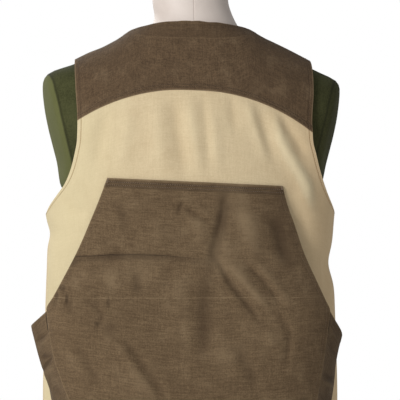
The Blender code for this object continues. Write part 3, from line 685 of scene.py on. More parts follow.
def yokeHems(*edges):
    sides = [(edge, yoke["hem"], (yoke["hemRow"],), 0.6, 0.5) for edge in edges]
    return [("fromBottom", yoke["seamHem"], yoke["topstitch"], 0.75, 0.35), *sides]


def yokeLap(z, seamZ):
    # the turned edge rides over the khaki beside the seam
    return yoke["seamLift"] * (1 - ramp(z - seamZ, yoke["seamReach"] - 0.003, yoke["seamReach"]))


def backYokeSurface(along, down):
    share = 1 - 2 * along
    topX = np.abs(share) * bySide(armholeBehind, share, cut["shoulderTip"])
    shoulderY = cut["shoulderSeam"] + cut["seamGap"] / 2
    topY = np.where(topX < cut["neckReach"], necklineDepth(topX), shoulderY)
    seamX, seamZ = yokeSeamPoint(share)
    seamZ = seamZ - yoke["seamLap"]

    def reachAt(y, z):
        return backReach(share, z)

    topTurn = turnAtDepth(reachAt, topY, math.radians(75.0))
    lowTurn = turnTo(garment.depthAt(seamX, seamZ), seamZ)
    points = garment.alongRay(reachAt, mix(topTurn, lowTurn, down))
    lap = yokeLap(points[..., 2], seamZ)
    return movedOut(points, lap + creaseRelief(yoke["creases"], points[..., 0], points[..., 2]))


def makeBackYoke():
    def marks(look, kind, colour, height, x, y, z):
        # the turned facing behind the neck shows through as a faint step, darker above it, with a painted
        # highlight along its edge
        facing = yoke["facing"]
        down = look.reading("fromTop")
        held = 1 - abs(x - facing["middle"]).step(*facing["ends"])
        under = (1 - down.step(*facing["edge"])) * held
        edge = line(down, *facing["line"]) * held
        colour = look.layer(colour, (under * 0.3, kind["dark"]), (edge * 0.12, kind["pale"]))
        return colour, height + under * 0.35

    width, row = yoke["topHem"]
    hems = [*yokeHems("fromLeft", "fromRight"), ("fromTop", width, (row,), 0.5, 0.3)]
    material = canvasLook("yokeCanvas.back", hems, marks)
    columns, rows = backColumns(*yoke["columns"]), fractions(yoke["rows"])
    clothPiece("yokeBack", backYokeSurface, columns, rows, material, "back_yoke")


back = {
    "columns": (52, 78),
    "rows": (58, 104),
    "creases": (
        (((32, 630), (26, 580), (12, 495)), 12, -3.4), (((8, 634), (2, 575), (-10, 500)), 11, 2.6),
        (((58, 630), (56, 560), (46, 500)), 13, 2), (((-78, 630), (-100, 565), (-122, 510)), 10, 3),
        (((-96, 618), (-111, 568), (-124, 512)), 11.5, -3),
        (((-119, 612), (-134, 560), (-155, 524), (-176, 490), (-190, 440)), 11, 4.8),
        (((-132, 602), (-155, 566), (-178, 530)), 8, -3),
        (((-142, 496), (-164, 448), (-182, 404)), 11, -2.4), (((-28, 610), (-38, 505)), 11, 2),
        (((-56, 640), (-66, 560)), 9, -2), (((132, 612), (144, 560), (152, 505)), 12, -2.6),
        (((98, 620), (106, 560), (112, 510)), 12, 1.8), (((-12, 640), (-20, 575), (-24, 505)), 7, -1.4),
        (((176, 505), (150, 440), (140, 420)), 12, -1.8), (((200, 474), (168, 436)), 10, -2),
        (((-216, 400), (-213, 310)), 7, -2.4),
    ),
    "fade": 0.012,
    "foldScale": 0.0045,
    # painted light tints: for the lit left side, for the shaded right side, and the painted shadow in the
    # underarm notch
    "litSideTint": tone(206, 195, 156),
    "shadedSideWarmth": tone(220, 190, 148),
    "underarmNotchShade": tone(48, 40, 32),
}


def backFolds(points):
    return backRelief(points[..., 0], points[..., 2]) / back["foldScale"]


def backRelief(x, z):
    return ramp(yokeSeamHeight(x) - z, 0, back["fade"]) * creaseRelief(back["creases"], x, z)


def sideSwing(z):
    return np.clip((cut["underarm"] - z) / cut["sideSwing"], 0.0, 1.0)


def sideSeamAngle(z):
    return cut["sideSeam"] * sideSwing(z)


def easedEdge(edge, z):
    below = edge + cut["underarmTurn"] * (1 - sideSwing(z))
    return np.where(z > cut["underarm"], np.maximum(edge, cut["underarmTurn"]), below)


def backPoint(share, z, roundness):
    above = z > cut["underarm"]
    armAngle = garment.angleAt(bySide(armholeBehind, share, z), z)
    sideAngle = sideSeamAngle(z) + cut["sideGap"] / garment.halfWidth(z)
    edge = np.where(above, armAngle, sideAngle)
    flatReach = np.where(above, backReach(share, z), share * garment.point(sideAngle, z)[..., 0])
    flatAngle = garment.angleAt(flatReach, z)
    eased = easedEdge(edge, z)
    turn = math.pi / 2 - np.abs(share) * (math.pi / 2 - eased) + (edge - eased) * np.abs(share) ** 8
    evenAngle = np.where(share >= 0, turn, math.pi - turn)
    points = garment.point(mix(flatAngle, evenAngle, roundness), z)
    return movedOut(points, backRelief(points[..., 0], z))


def panelHeight(top, down):
    upper = mix(top, cut["underarm"], np.minimum(down * 2, 1.0))
    return np.where(down <= 0.5, upper, mix(cut["underarm"], cut["hem"], down * 2 - 1))


def panelRows(armRows, bodyRows):
    arm = 1 - (1 - fractions(armRows)) ** 1.5
    return np.concatenate([arm / 2, 0.5 + fractions(bodyRows)[1:] / 2])


def backSurface(along, down):
    share = 1 - 2 * along
    _, top = yokeSeamPoint(share)
    z = panelHeight(top - cut["seamGap"] / 2, down)
    return backPoint(share + 0 * down, z, np.minimum(2 * down, 1.0))


def makeBack():
    def marks(look, kind, colour, height, x, y, z):
        for edge in ("fromLeft", "fromRight"):
            colour, height = armholeRow(look, kind, colour, height, z, edge)
        # painted light: the lit left side is tinted paler, the shaded right side away from the ridges gets
        # a warm painted bounce light, and painted shadow darkens the notch at the left underarm
        shadedSide = (1 - x.step(-0.21, -0.1)) * (1 - look.reading("fold").step(0.0, 0.7))
        underarmNotchShade = (1 - look.reading("fromLeft").step(0.002, 0.0034)) * line(z, 0.4455, 0.003)
        colour = look.layer(
            colour,
            (x.step(0.06, 0.2) * 0.5, back["litSideTint"]),
            (shadedSide * 0.5, back["shadedSideWarmth"]),
            (underarmNotchShade * 0.85, back["underarmNotchShade"]),
        )
        return colour, height

    material = canvasLook("khakiCanvas.back", [bottomHem], marks)
    columns, rows = backColumns(*back["columns"]), panelRows(*back["rows"])
    clothPiece("backCloth", backSurface, columns, rows, material, "back_panel", folds=backFolds)


front = {
    "columns": 96,
    "rows": (58, 104),
    "yokeColumns": 34,
    "yokeRows": 52,
    "overlapReach": 0.032,
    "overlapRamp": 0.036,
    "creases": {
        1: (
            (((150, 598), (110, 520), (80, 430)), 13, -3), (((185, 470), (140, 430), (90, 400)), 12, 3),
            (((200, 440), (165, 385), (130, 330)), 12, -2.8), (((60, 480), (52, 360)), 12, 1.8),
            (((120, 300), (128, 130)), 20, -4), (((70, 260), (66, 110)), 18, 3),
            (((180, 330), (176, 150)), 20, 3),
        ),
        -1: (
            (((-140, 600), (-118, 530), (-84, 460)), 12, -3),
            (((-190, 462), (-150, 418), (-110, 400)), 12, 3),
            (((-202, 430), (-176, 370), (-150, 300)), 13, -3), (((-62, 500), (-66, 390)), 12, -1.8),
            (((-100, 310), (-108, 120)), 18, 3.4), (((-150, 280), (-150, 100)), 18, -3.6),
            (((-60, 250), (-54, 120)), 16, -2.2),
        ),
    },
    "facing": 0.034,
    "facingRows": (0.0045, 0.033),
}


def frontInnerEdge(y, z):
    behind = mix(0.101, cut["neckReach"], (np.maximum(y, 0) / cut["shoulderSeam"]) ** 1.6)
    return np.where(y > 0, behind, frontEdge(z))


def overlapLift(x):
    share = ramp(-x, -(front["overlapReach"] + front["overlapRamp"]), -front["overlapReach"])
    return (cut["cloth"] + cut["seamGap"]) * share


def frontRelief(side, x, z):
    edgeFade = ramp(x * side, front["overlapReach"], front["overlapReach"] + 0.02)
    return creaseRelief(front["creases"][side], x, z) * edgeFade * ramp(cut["frontYoke"] - z, 0, 0.015)


def mirrored(surface, side):
    # the wearer's left piece as it is, or turned over for the right
    def other(along, down):
        return surface(1 - along, down) * np.array([-1.0, 1.0, 1.0])

    return surface if side > 0 else other


def frontPoint(side, along, z):
    innerX, armReach = frontEdge(z), armholeInFront[side](z)
    sideAngle = cut["sideGap"] / garment.halfWidth(z) - sideSeamAngle(z)
    edge = np.where(z > cut["underarm"], garment.angleAt(armReach, z), sideAngle)
    eased = easedEdge(edge, z)
    evenAngle = mix(-garment.angleAt(innerX, z), -eased, along) - (edge - eased) * along**8
    flatAngle = -garment.angleAt(mix(innerX, armReach, along), z)
    roundness = np.clip((cut["frontYoke"] - z) / (cut["frontYoke"] - cut["underarm"]), 0.0, 1.0)
    return garment.point(mix(flatAngle, evenAngle, roundness), z)


def frontMarks(side, outer):
    def marks(look, kind, colour, height, x, y, z):
        colour, height = armholeRow(look, kind, colour, height, z, outer)
        if side < 0:
            return colour, height
        # the buttonholes: worked edges around a slit
        for level in buttonHeights():
            up, aside = abs(z - level), abs(x - button["slitShift"])
            worked = (1 - up.step(*button["worked"][0])) * (1 - aside.step(*button["worked"][1]))
            slit = (1 - up.step(*button["slit"][0])) * (1 - aside.step(*button["slit"][1]))
            colour = look.layer(colour, (worked * 0.75, kind["soil"]), (slit * 0.9, button["slitTone"]))
            height = height + worked * 0.4 - slit * 1.2
        return colour, height

    return marks


def makeFront(side):
    def surface(along, down):
        z = panelHeight(cut["frontYoke"] - cut["seamGap"] / 2, down)
        points = frontPoint(side, along + 0 * down, z + 0 * along)
        lift = overlapLift(points[..., 0]) if side > 0 else 0.0
        relief = frontRelief(side, points[..., 0] * side, points[..., 2])
        return movedOut(points, lift + relief, side)

    def yokeSurface(along, down):
        lowZ = cut["frontYoke"] - yoke["seamLap"]
        lowX = mix(frontEdge(lowZ), armholeInFront[side](lowZ), along)

        def reachAt(y, z):
            return mix(frontInnerEdge(y, z), armholeInFront[side](z), along)

        topY = cut["shoulderSeam"] - cut["seamGap"] / 2 + 0 * along
        topTurn = turnAtDepth(reachAt, topY, math.radians(80.0))
        lowY = garment.point(-garment.angleAt(lowX, lowZ), lowZ)[..., 1]
        points = garment.alongRay(reachAt, mix(topTurn, turnTo(lowY, lowZ), down))
        return movedOut(points, yokeLap(points[..., 2], lowZ), side)

    word = sideWords[side]
    inner, outer = ("fromLeft", "fromRight") if side > 0 else ("fromRight", "fromLeft")
    hems = (bottomHem, (inner, front["facing"], front["facingRows"], 0.6, 0.1))
    material = canvasLook("khakiCanvas." + word, hems, frontMarks(side, outer))
    columns = fractions(front["columns"], 1.1)
    if side < 0:
        columns = 1 - columns[::-1]
    cloth, rows = mirrored(surface, side), panelRows(*front["rows"])
    clothPiece("frontCloth_" + word, cloth, columns, rows, material, "front_" + word)
    material = canvasLook("yokeCanvas." + word, yokeHems(inner, outer))
    columns, rows = fractions(front["yokeColumns"]), fractions(front["yokeRows"])
    cloth = mirrored(yokeSurface, side)
    clothPiece("yokeFront_" + word, cloth, columns, rows, material, "front_yoke_" + word)


pouch = {
    "top": 0.494,
    "low": 0.087,
    "mouthEnd": 0.297,
    "columns": 150,
    "rows": 158,
    "stand": 0.0009,
    "foldLift": 0.006,
    "foldScale": 0.004,
    "rings": (
        (494, 133, 137.5, 0.0455, 0, 0, 0), (464.5, 144.3, 145.2, 0.036, 3, 2, 2),
        (434, 157, 155.9, 0.028, 7, 6, 6), (386, 178, 171.6, 0.02, 15, 19, 17),
        (343.5, 200.3, 190, 0.014, 22, 42, 34), (315, 216, 202.5, 0.011, 26, 62, 47),
        (297, 226, 210, 0.01, 28, 76, 55), (262, 222, 205.5, 0.006, 31, 72, 52),
        (222.5, 214.3, 200, 0.004, 32, 62, 48), (196, 205.5, 196, 0.002, 31, 52, 42),
        (150, 190, 189, 0.001, 26, 34, 32), (115, 185, 186, 0.0, 15, 18, 18), (87, 183, 185, 0.0, 0, 0, 0),
    ),
    "creases": (
        (((-50, 500), (-47, 450), (-36, 406), (-24, 350)), 9, -4),
        (((-49, 492), (-46, 462), (-41, 424)), 3.4, -1.4), (((-18, 460), (-6, 390)), 13, 2.4),
        (((16, 468), (26, 442)), 3.6, -3), (((20, 456), (-28, 431)), 3.8, -3.4),
        (((12, 440), (-14, 422)), 8, 2), (((181, 375.6), (120, 382.6), (18, 382.6), (-23, 384.2)), 3, -2.4),
        (((-28, 388), (-53, 341), (-84, 300), (-109, 274)), 4.6, -4.2),
        (((-48, 374), (-84, 333), (-119, 295)), 8.5, 4.2),
        (((-71, 376), (-104, 344), (-135, 304)), 4.6, -3.4),
        (((-88, 376), (-120, 344), (-146, 310)), 8, 2.6),
        (((-122, 300), (-146, 262), (-138, 205)), 6.2, -2.6), (((-109, 270), (-124, 238)), 9.5, 2.6),
        (((-80, 460), (-86, 420), (-98, 370)), 15, 3.4),
        (((-118, 450), (-132, 408), (-146, 362)), 11, -3.4), (((213, 316), (213.5, 300)), 3.4, -2.8),
        (((195, 316), (194.5, 302)), 3.4, -3), (((202, 332), (197, 322)), 4, -3),
        (((150, 420), (110, 372)), 13, -1.8), (((175, 352), (100, 352)), 14, 1.6),
        (((146, 276), (52, 156)), 10, 3.4), (((116, 268), (34, 150)), 6.6, -3),
        (((166, 320), (140, 292), (150, 262)), 3.8, -2.2), (((186, 324), (191, 288)), 4.2, -2.6),
        (((150, 330), (147, 300)), 4, -2), (((22, 360), (12, 210)), 18, 2.2),
        (((-12, 360), (-12, 204)), 14, -2.6), (((186, 256), (140, 176)), 8, -2.6),
        (((150, 290), (90, 190)), 8, -2), (((112, 452), (100, 410)), 10, -2),
        (((60, 440), (52, 395)), 12, 2), (((90, 360), (84, 320)), 8, -1.8),
        (((52, 368), (56, 330)), 10, 1.8), (((-60, 250), (-100, 170)), 11, -3),
    ),
    "foldShadeAndHighlight": (     # broad painted shade and painted highlight along old folds, with dirt and rubbing, as colour alone
        (((-43, 486), (-39, 424), (-28, 391), (-22, 350)), 13, -2.2),
        (((-26, 380), (-16, 300), (-10, 230)), 15, -1.8),
        (((-129, 445), (-137, 391), (-150, 354)), 14, -2.2), (((96, 382), (84, 316)), 10, -1.8),
        (((52, 375), (56, 333)), 8, -1.8), (((134, 296), (126, 255), (93, 214)), 10, -2.4),
        (((52, 214), (11, 173)), 10, -2), (((122, 457), (101, 440)), 9, -1.8),
        (((-66, 458), (-78, 412)), 14, 2.2), (((26, 424), (8, 410)), 14, 1.8),
        (((124, 372), (132, 300)), 13, 1.6), (((23, 354), (27, 313)), 12, 1.6),
        (((-113, 296), (-137, 247)), 12, 1.8), (((134, 222), (93, 185)), 12, 2),
    ),
    "nicks": (     # small sharp dents near the left mouth, darkened with painted shade: x, z, half width, half height, how dark
        (0.202, 0.3326, 0.006, 0.005, 0.45), (0.21, 0.319, 0.003, 0.007, 0.45),
        (0.1946, 0.3161, 0.0026, 0.0075, 0.6), (0.1313, 0.3104, 0.003, 0.009, 0.3),
        (0.1488, 0.2785, 0.0046, 0.0034, 0.45), (0.188, 0.37, 0.011, 0.006, 0.35),
    ),
    "topstitch": (0.006, 0.0108),
    "hem": 0.0128,
    "sideHem": (0.0085, 0.007),
    "pressLine": (0.3824, 0.0012),
    "pressShadow": (0.3789, 0.0085),
    "wornLine": (0.317, 0.0009),
    # dark tones for the hem band, and for painted shade in the needle holes, under the hem's lower edge,
    # beside and in the pressed crease, in the dents and in the gusset's slit
    "shadeAndDirt": {
        "band": tone(60, 46, 33),
        "hole": tone(44, 33, 24),
        "hemEdgeShade": tone(46, 35, 25),
        "shadow": tone(56, 43, 31),
        "pressedCreaseShade": tone(44, 34, 25),
        "dent": tone(50, 38, 27),
        "slit": tone(34, 25, 17),
    },
}
pouchReach = {1: curveThrough(pouch["rings"], 1), -1: curveThrough(pouch["rings"], 2)}
pouchTilt = curveThrough(pouch["rings"], 3, 1)
pouchMiddleLift = curveThrough(pouch["rings"], 4)
pouchEdgeLift = {1: curveThrough(pouch["rings"], 5), -1: curveThrough(pouch["rings"], 6)}


def pouchPoint(share, height):
    x = share * bySide(pouchReach, share, height)
    z = height + pouchTilt(height) * x
    rest = garment.depthAt(x, z) + backRelief(x, z)
    lift = mix(pouchMiddleLift(height), bySide(pouchEdgeLift, share, height), share * share)
    relief = creaseRelief(pouch["creases"], x, z) * np.minimum(lift / pouch["foldLift"], 1.0)
    lean = 1 / np.maximum(garment.outwards(asPoints(x, rest, z))[..., 1], 0.2)
    return asPoints(x, rest + (pouch["stand"] + cut["cloth"]) * lean + lift + relief, z)


def pouchSurface(along, down):
    return pouchPoint(1 - 2 * along + 0 * down, mix(pouch["top"], pouch["low"], down) + 0 * along)


def pouchFolds(points):
    x, z = points[..., 0], points[..., 2]
    foldShadeAndHighlight = creaseRelief(pouch["foldShadeAndHighlight"], x, z)
    return (creaseRelief(pouch["creases"], x, z) + foldShadeAndHighlight) / pouch["foldScale"]


def pouchMarks(look, kind, colour, height, x, y, z):
    shadeAndDirt, pale = pouch["shadeAndDirt"], kind["pale"]
    drift = look.noise(x * 30, 0.0, 2.0, 2.0) - 0.5
    patchy = look.noise(x * 55, 4.0, z * 40, 3.0, 0.7)
    # the turned upper hem: a pale line at its top, a darker band along it, painted shade in the needle
    # holes and painted shade under its lower edge
    down = look.reading("fromTop")
    band = down.step(0.0026, 0.0046) * (1 - down.step(0.0105, 0.015)) * (0.6 + patchy * 0.8)
    holes = (x * 2 * math.pi / thread["pitch"]).wave() * 0.5 + 0.5
    first, second = [line(down, row + 0.0006, 0.0014) for row in pouch["topstitch"]]
    # one sharp pressed crease, drawn as a painted shadow band and a painted dark line of crease shade, and
    # one worn pale where the cloth was folded for years
    bowed = z + (x - 0.1) * (x - 0.1) * 0.55 + drift * 0.003
    shadow = line(bowed, *pouch["pressShadow"]) * x.step(-0.06, 0.09)
    pressedCreaseShade = line(bowed, *pouch["pressLine"]) * x.step(-0.05, 0.07)
    worn = line(z + drift * 0.0012, *pouch["wornLine"]) * patchy.step(0.3, 0.62)
    rub = look.noise(x * 9, 1.0, z * 9, 3.0, 0.6).step(0.5, 0.75)
    stain = look.noise(x * 13 + 4, 1.0, z * 7, 3.0, 0.65).step(0.52, 0.72)
    colour = look.layer(
        colour,
        (line(down, 0.0012, 0.0016) * 0.35, pale),
        (band * 0.34, shadeAndDirt["band"]),
        (holes * (first + second) * 0.6, shadeAndDirt["hole"]),
        (line(down, pouch["hem"] + 0.001, 0.0016) * 0.45, shadeAndDirt["hemEdgeShade"]),
        (shadow * 0.42, shadeAndDirt["shadow"]),
        (pressedCreaseShade * 0.7, shadeAndDirt["pressedCreaseShade"]),
        (worn * 0.55, pale),
        (rub * 0.25, pale),
        (stain * 0.3, kind["dark"]),
    )
    for middle, level, wide, tall, dark in pouch["nicks"]:
        away = ((x - middle) / wide) ** 2 + ((z - level + drift * 0.002) / tall) ** 2
        dent = 1 - away.step(0.0, 1.6)
        # painted shade darkens each dent
        colour = look.layer(colour, (dent * dark, shadeAndDirt["dent"]))
        height = height - dent * 0.5
    # painted shade darkens the pouch in patches towards its right edge, the side away from the light
    rightEdgeShade = (1 - look.reading("fromRight").step(0.004, 0.075)) * patchy.step(0.25, 0.7)
    return look.layer(colour, (rightEdgeShade * 0.42, kind["soil"])), height + worn * 0.2 - pressedCreaseShade * 0.5


def makePouch():
    width, row = pouch["sideHem"]
    sides = [(edge, width, (row,), 0.12, 0.25) for edge in ("fromLeft", "fromRight")]
    hems = [("fromTop", pouch["hem"], pouch["topstitch"], 0.75, 0.0), *sides]
    material = canvasLook("pouchLinen.pouch", hems, pouchMarks)
    # columns lie closer together at both sides
    half = fractions(pouch["columns"]) - 0.5
    columns = 0.5 + 0.65 * half + 0.175 * np.sin(math.pi * half)
    rows, lies = fractions(pouch["rows"]), ("backCloth", "formCover")
    node, slot = "pouch_panel", "brown_pouch"
    clothPiece("pouchCloth", pouchSurface, columns, rows, material, node, pouchFolds)


gusset = {
    "columns": 26,
    "rows": 84,
    "seam": ((87, 34), (150, 25), (200, 18), (262, 12.5), (297, 12)),
    "drop": {1: 0.045, -1: 0.056},
    "bulge": {1: 0.0235, -1: 0.0145},
    "fade": {1: 0.9, -1: 1.3},
    "softness": {1: 0.14, -1: 0.4},
    "turnPower": {1: 1.3, -1: 1.75},
    "stand": 1.3,
    "tuck": 0.0012,      # its edge is sewn under the pouch's
    "topHem": (0.008, 0.0065),
    "slit": (0.0036, 0.0024),
    "foldScale": 0.0028,
    "wrinkles": {
        1: (
            (0.165, 0.05, 0.0034, -0.003, 0.5), (0.215, 0.02, 0.006, 0.002, 0.5),
            (0.32, 0.03, 0.0036, -0.003, 0.5), (0.375, 0.2, 0.0036, -0.0036, 0.6),
            (0.43, 0.14, 0.007, 0.0024, 0.6), (0.6, 0.1, 0.01, -0.0016, 0.8),
        ),
        -1: (
            (0.14, 0.08, 0.006, 0.0016, 0.5), (0.26, 0.05, 0.006, -0.002, 0.6),
            (0.48, 0.1, 0.006, -0.0034, 1.0), (0.54, 0.05, 0.005, 0.0034, 1.0),
            (0.64, 0.1, 0.008, -0.0016, 0.9),
        ),
    },
}
gussetAngle = curveThrough(gusset["seam"], 1, 180 / math.pi)


def makeGusset(side):
    wrinkled = {}

    def strip(along, down):
        level = mix(pouch["mouthEnd"], pouch["low"] + 0.001, down)
        fold = pouchPoint(float(side) + 0 * level, level)
        fold = fold + asPoints(-side * gusset["tuck"], -cut["cloth"] * 1.15, 0)
        drop = gusset["drop"][side] * (1 - down) ** 3
        soft = gusset["softness"][side]
        seamZ = level - drop
        angle = gussetAngle(seamZ)
        body = garment.point(angle if side > 0 else math.pi - angle, seamZ)
        seam = movedOut(body, np.full(seamZ.shape, cut["seamGap"] + cut["cloth"] * gusset["stand"]))
        points = fold + (seam - fold) * along[..., None]
        points[..., 2] = level - drop * (1 - (1 - along) ** gusset["turnPower"][side])
        ridge = 1 - (np.hypot(2 * along - 1, soft) - soft) / (math.hypot(1, soft) - soft)
        swell = gusset["bulge"][side] * (1 - down) ** gusset["fade"][side] * ridge
        points[..., 0] += side * swell
        # each wrinkle: how far down, its slant, its spread in metres, its height, how far across
        length = pouch["mouthEnd"] - pouch["low"]
        relief = 0 * swell
        for centre, slant, spread, tall, reach in gusset["wrinkles"][side]:
            away = (down - centre - slant * (along - 0.25)) * length
            relief += tall * softBump(away, spread) * np.sin(math.pi * np.clip(along / reach, 0, 1))
        wrinkled["relief"] = relief
        return points + asPoints(0.5 * side, 0.85, 0) * relief[..., None]

    def surface(along, down):
        return strip(1 - along + 0 * down if side > 0 else along + 0 * down, down + 0 * along)

    def marks(look, kind, colour, height, x, y, z):
        # painted shade darkens it towards its seam with the body, and a painted shadow fills the slit where
        # its top pulls away from the pouch
        low = look.reading("fromTop")
        away = look.reading("fromRight" if side > 0 else "fromLeft")
        slit = line(away, *gusset["slit"]) * (1 - low.step(0.024, 0.036)) * low.step(0.0, 0.006)
        seam = (away.step(0.0, 0.03) * 0.3, kind["soil"])
        colour = look.layer(colour, seam, (slit * 0.9, pouch["shadeAndDirt"]["slit"]))
        return colour, height - slit

    def wrinkleFolds(points):
        return wrinkled["relief"] / gusset["foldScale"]

    word = sideWords[side]
    name, node = "gusset_" + word, "pouch_gusset_" + word
    width, row = gusset["topHem"]
    material = canvasLook("pouchLinen." + word, (("fromTop", width, (row,), 0.4, 0.3),), marks)
    columns, rows = fractions(gusset["columns"]), fractions(gusset["rows"])
    clothPiece(name, surface, columns, rows, material, node, wrinkleFolds)


form = {
    "rings": (
        (0, 170, 103, 92, 2.2), (50, 176, 108, 96, 2.2), (110, 177, 108, 98, 2.2), (180, 169, 100, 98, 2.2),
        (260, 155, 84, 96, 2.2), (320, 152, 80, 97, 2.2), (380, 162, 89, 104, 2.2),
        (430, 176, 100, 112, 2.2), (460, 185, 106, 117, 2.2), (474, 196, 109, 118, 2.2),
        (486, 213, 111, 119, 2.2), (500, 223, 112, 119, 2.2), (546, 242, 113, 120, 2.25),
        (578, 254, 112, 115, 2.25), (610, 260, 108, 107, 2.25), (642, 252, 100, 96, 2.2),
        (661, 232, 94, 88, 2.15), (680.5, 190, 88, 80, 2.1), (700, 157, 82, 71, 2.1),
        (717.5, 128.5, 76, 66, 2.1), (726.2, 108, 73, 63, 2.1), (730, 94, 70, 60, 2.1),
        (740, 75, 67, 59, 2.05), (750, 65.8, 63, 58, 2.0), (765, 61.8, 58, 59, 2.0),
        (786, 60.5, 53, 61, 2.0), (830, 60, 50, 64, 2.0),
    ),
    "cap": (
        (455, 188), (474, 193), (486, 208), (500, 210.5), (522, 214), (546, 220), (578, 228), (610, 234),
        (642, 237.2), (662, 237.6), (690, 237.6),
    ),
    "capTurn": math.tan(math.radians(8.0)),
    "capDome": 0.3,
    "capSpan": math.radians(44.0),
    "capEdge": 0.012,
    "join": 0.728,
    "top": 0.83,
    "rim": 0.006,
    "stumpShift": -0.003,
    "stumpTilt": 0.02,
    "stumpReach": ((0.12, 0.2), (0.46, 0.52)),
    "neckRise": (0.733, 0.748),
    "dropReach": (0.095, 0.106),
    "plateRise": ((0.455, 0.475), (0.66, 0.69)),
    "weld": 0.00002,
    "neckShift": -0.0068,
    "neckStraight": 0.786,
    "seamX": -0.003,
    "columns": (22, 26),
    "coverRows": 120,
    "neckRows": 44,
    "rimRows": 8,
    "neckMiddle": (0.0, -0.007, 0.0),
}
body = Shell(form["rings"])
capReach = curveThrough(form["cap"], 1)


def settled(points):
    x, z = points[..., 0], points[..., 2]
    across, upward = form["stumpReach"]
    stump = ramp(np.abs(x), *across) * ramp(z, *upward)
    neck = ramp(z, *form["neckRise"]) * (1 - ramp(z, form["neckRise"][1], form["neckStraight"]))
    drop = ramp(x, *form["dropReach"]) * topRise(x, z)
    shift = form["stumpShift"] * stump + form["neckShift"] * neck
    return points + asPoints(shift, 0, form["stumpTilt"] * x * stump + drop)


def roundAngles(capCount, arcCount):
    cap = mix(0.0, form["capSpan"], fractions(capCount))
    quarter = np.concatenate([cap, mix(form["capSpan"], math.pi / 2, fractions(arcCount))[1:]])
    half = np.concatenate([quarter, (math.pi - quarter[::-1])[1:]])
    return np.concatenate([half, (math.pi + half)[1:]])


def closeTube(piece):
    # the grid's two long edges meet behind, and its ends are filled flat
    bpy.ops.object.mode_set(mode="EDIT")
    bpy.ops.mesh.select_all(action="SELECT")
    bpy.ops.mesh.remove_doubles(threshold=form["weld"])
    bpy.ops.mesh.select_all(action="DESELECT")
    bpy.ops.mesh.select_non_manifold(extend=False)
    bpy.ops.mesh.fill_holes(sides=0)
    bpy.ops.mesh.select_all(action="SELECT")
    bpy.ops.mesh.normals_make_consistent(inside=False)
    bpy.ops.object.mode_set(mode="OBJECT")


def jerseyLook():
    look = Look("greenJersey")
    x, y, z = look.place()
    rib = (x * 3400 + y * 2600).wave() * (z * 3000).wave()
    pile = look.noise(x * 420, y * 420, z * 420, 3.0, 0.6)
    blotch = look.noise(x * 14, y * 14, z * 14, 3.0, 0.6)
    # the flat end of each stump is painted paler, strongly on the lit left one as a painted highlight, and
    # its rim is dark
    plate = look.reading("armPlate")
    colour = look.layer(
        tone(49, 50, 28),
        (pile.step(0.3, 0.7), tone(67, 68, 41)),
        (blotch.step(0.45, 0.75) * 0.4, tone(82, 83, 52)),
        (plate.step(0.45, 0.65) * (x.step(0.0, 0.1) * 0.5 + 0.05), tone(108, 110, 68)),
        (line(plate, 0.45, 0.22) * 0.55, tone(38, 38, 22)),
    )
    return look.finish(colour, 0.94 - pile * 0.06, rib * 0.1 + pile * 0.3, 0.02, 0.12)


def neckLook():
    look = Look("neckShell")
    x, y, z = look.place()
    cloud = look.noise(x * 22, y * 22, z * 22, 4.0, 0.6)
    grain = look.noise(x * 300, y * 300, z * 300, 2.0, 0.5)
    seam = line(x, form["seamX"], 0.0016) * y.step(0.0, 0.02)
    soft, mould = (cloud.step(0.35, 0.75) * 0.5, tone(196, 182, 172)), (seam * 0.35, tone(178, 160, 148))
    colour = look.layer(tone(209, 197, 188), soft, mould)
    return look.finish(colour, 0.52 + grain * 0.1, cloud * 0.15 + grain * 0.05 - seam * 0.35)


def plateReach(y, z):
    # where the flat end of a stump cuts the rounded body
    return capReach(z) - form["capTurn"] * y - y * y / (2 * form["capDome"])


def coverSurface(along, down):
    z = form["join"] * (1 - down)
    points = body.point(ringAngles(along), z + 0 * along)
    x, limit = points[..., 0], plateReach(points[..., 1], z)
    edge = form["capEdge"]
    share = np.maximum(edge - np.abs(np.abs(x) - limit), 0.0) / edge
    points[..., 0] = np.sign(x) * (np.minimum(np.abs(x), limit) - share * share * edge / 4)
    return settled(points)


def neckSurface(along, down):
    # the top rows turn over the rim
    count, turned, rim = down.size - 1, form["rimRows"], form["rim"]
    low, high = form["join"] + cut["seamGap"], form["top"] - rim
    index = np.rint(down * count)
    bend = np.clip(index / turned, 0, 1) * math.pi / 2
    level = mix(low, high, 1 - np.clip((index - turned) / (count - turned), 0, 1))
    z = np.where(index < turned, high + rim * np.cos(bend), level)
    inset = np.where(index < turned, rim * (1 - np.sin(bend)), 0.0)
    points = settled(body.point(ringAngles(along), np.minimum(z, form["top"]) + 0 * along))
    flat = body.point(ringAngles(along), form["top"] + 0 * along + 0 * down)
    toward = unit(np.array(form["neckMiddle"]) - flat * np.array([1, 1, 0]))
    return points + toward * inset[..., None]


def ringAngles(along):
    ring = roundAngles(*form["columns"])
    return np.interp(along, fractions(len(ring) - 1), ring)


def makeForm():
    columns = fractions(len(roundAngles(*form["columns"])) - 1)
    for name, surface, rows, material, node, slot in (
        ("formCover", coverSurface, form["coverRows"], jerseyLook(), "form_torso", "form_cover"),
        ("formNeck", neckSurface, form["neckRows"], neckLook(), "form_neck", "form_neck"),
    ):
        piece = gridPiece(name, surface, columns, fractions(rows))
        closeTube(piece)
        x, y, z = spotsOf(piece.data).T
        plate = 1 - np.clip((plateReach(y, z) - np.abs(x - form["stumpShift"])) / form["capEdge"], 0, 1)
        low, high = form["plateRise"]
        plate *= ramp(z, *low) * (1 - ramp(z, *high))
        addReading(piece.data, "armPlate", plate)
        dress(piece, material, node, 40)
    print("form made")


thread = {
    "pitch": 0.0034,
    "length": 0.0025,
    "width": 0.0006,
    "height": 0.00032,
    "colours": {"rust": tone(150, 112, 70), "brown": tone(92, 73, 53), "stone": tone(124, 106, 88)},
}


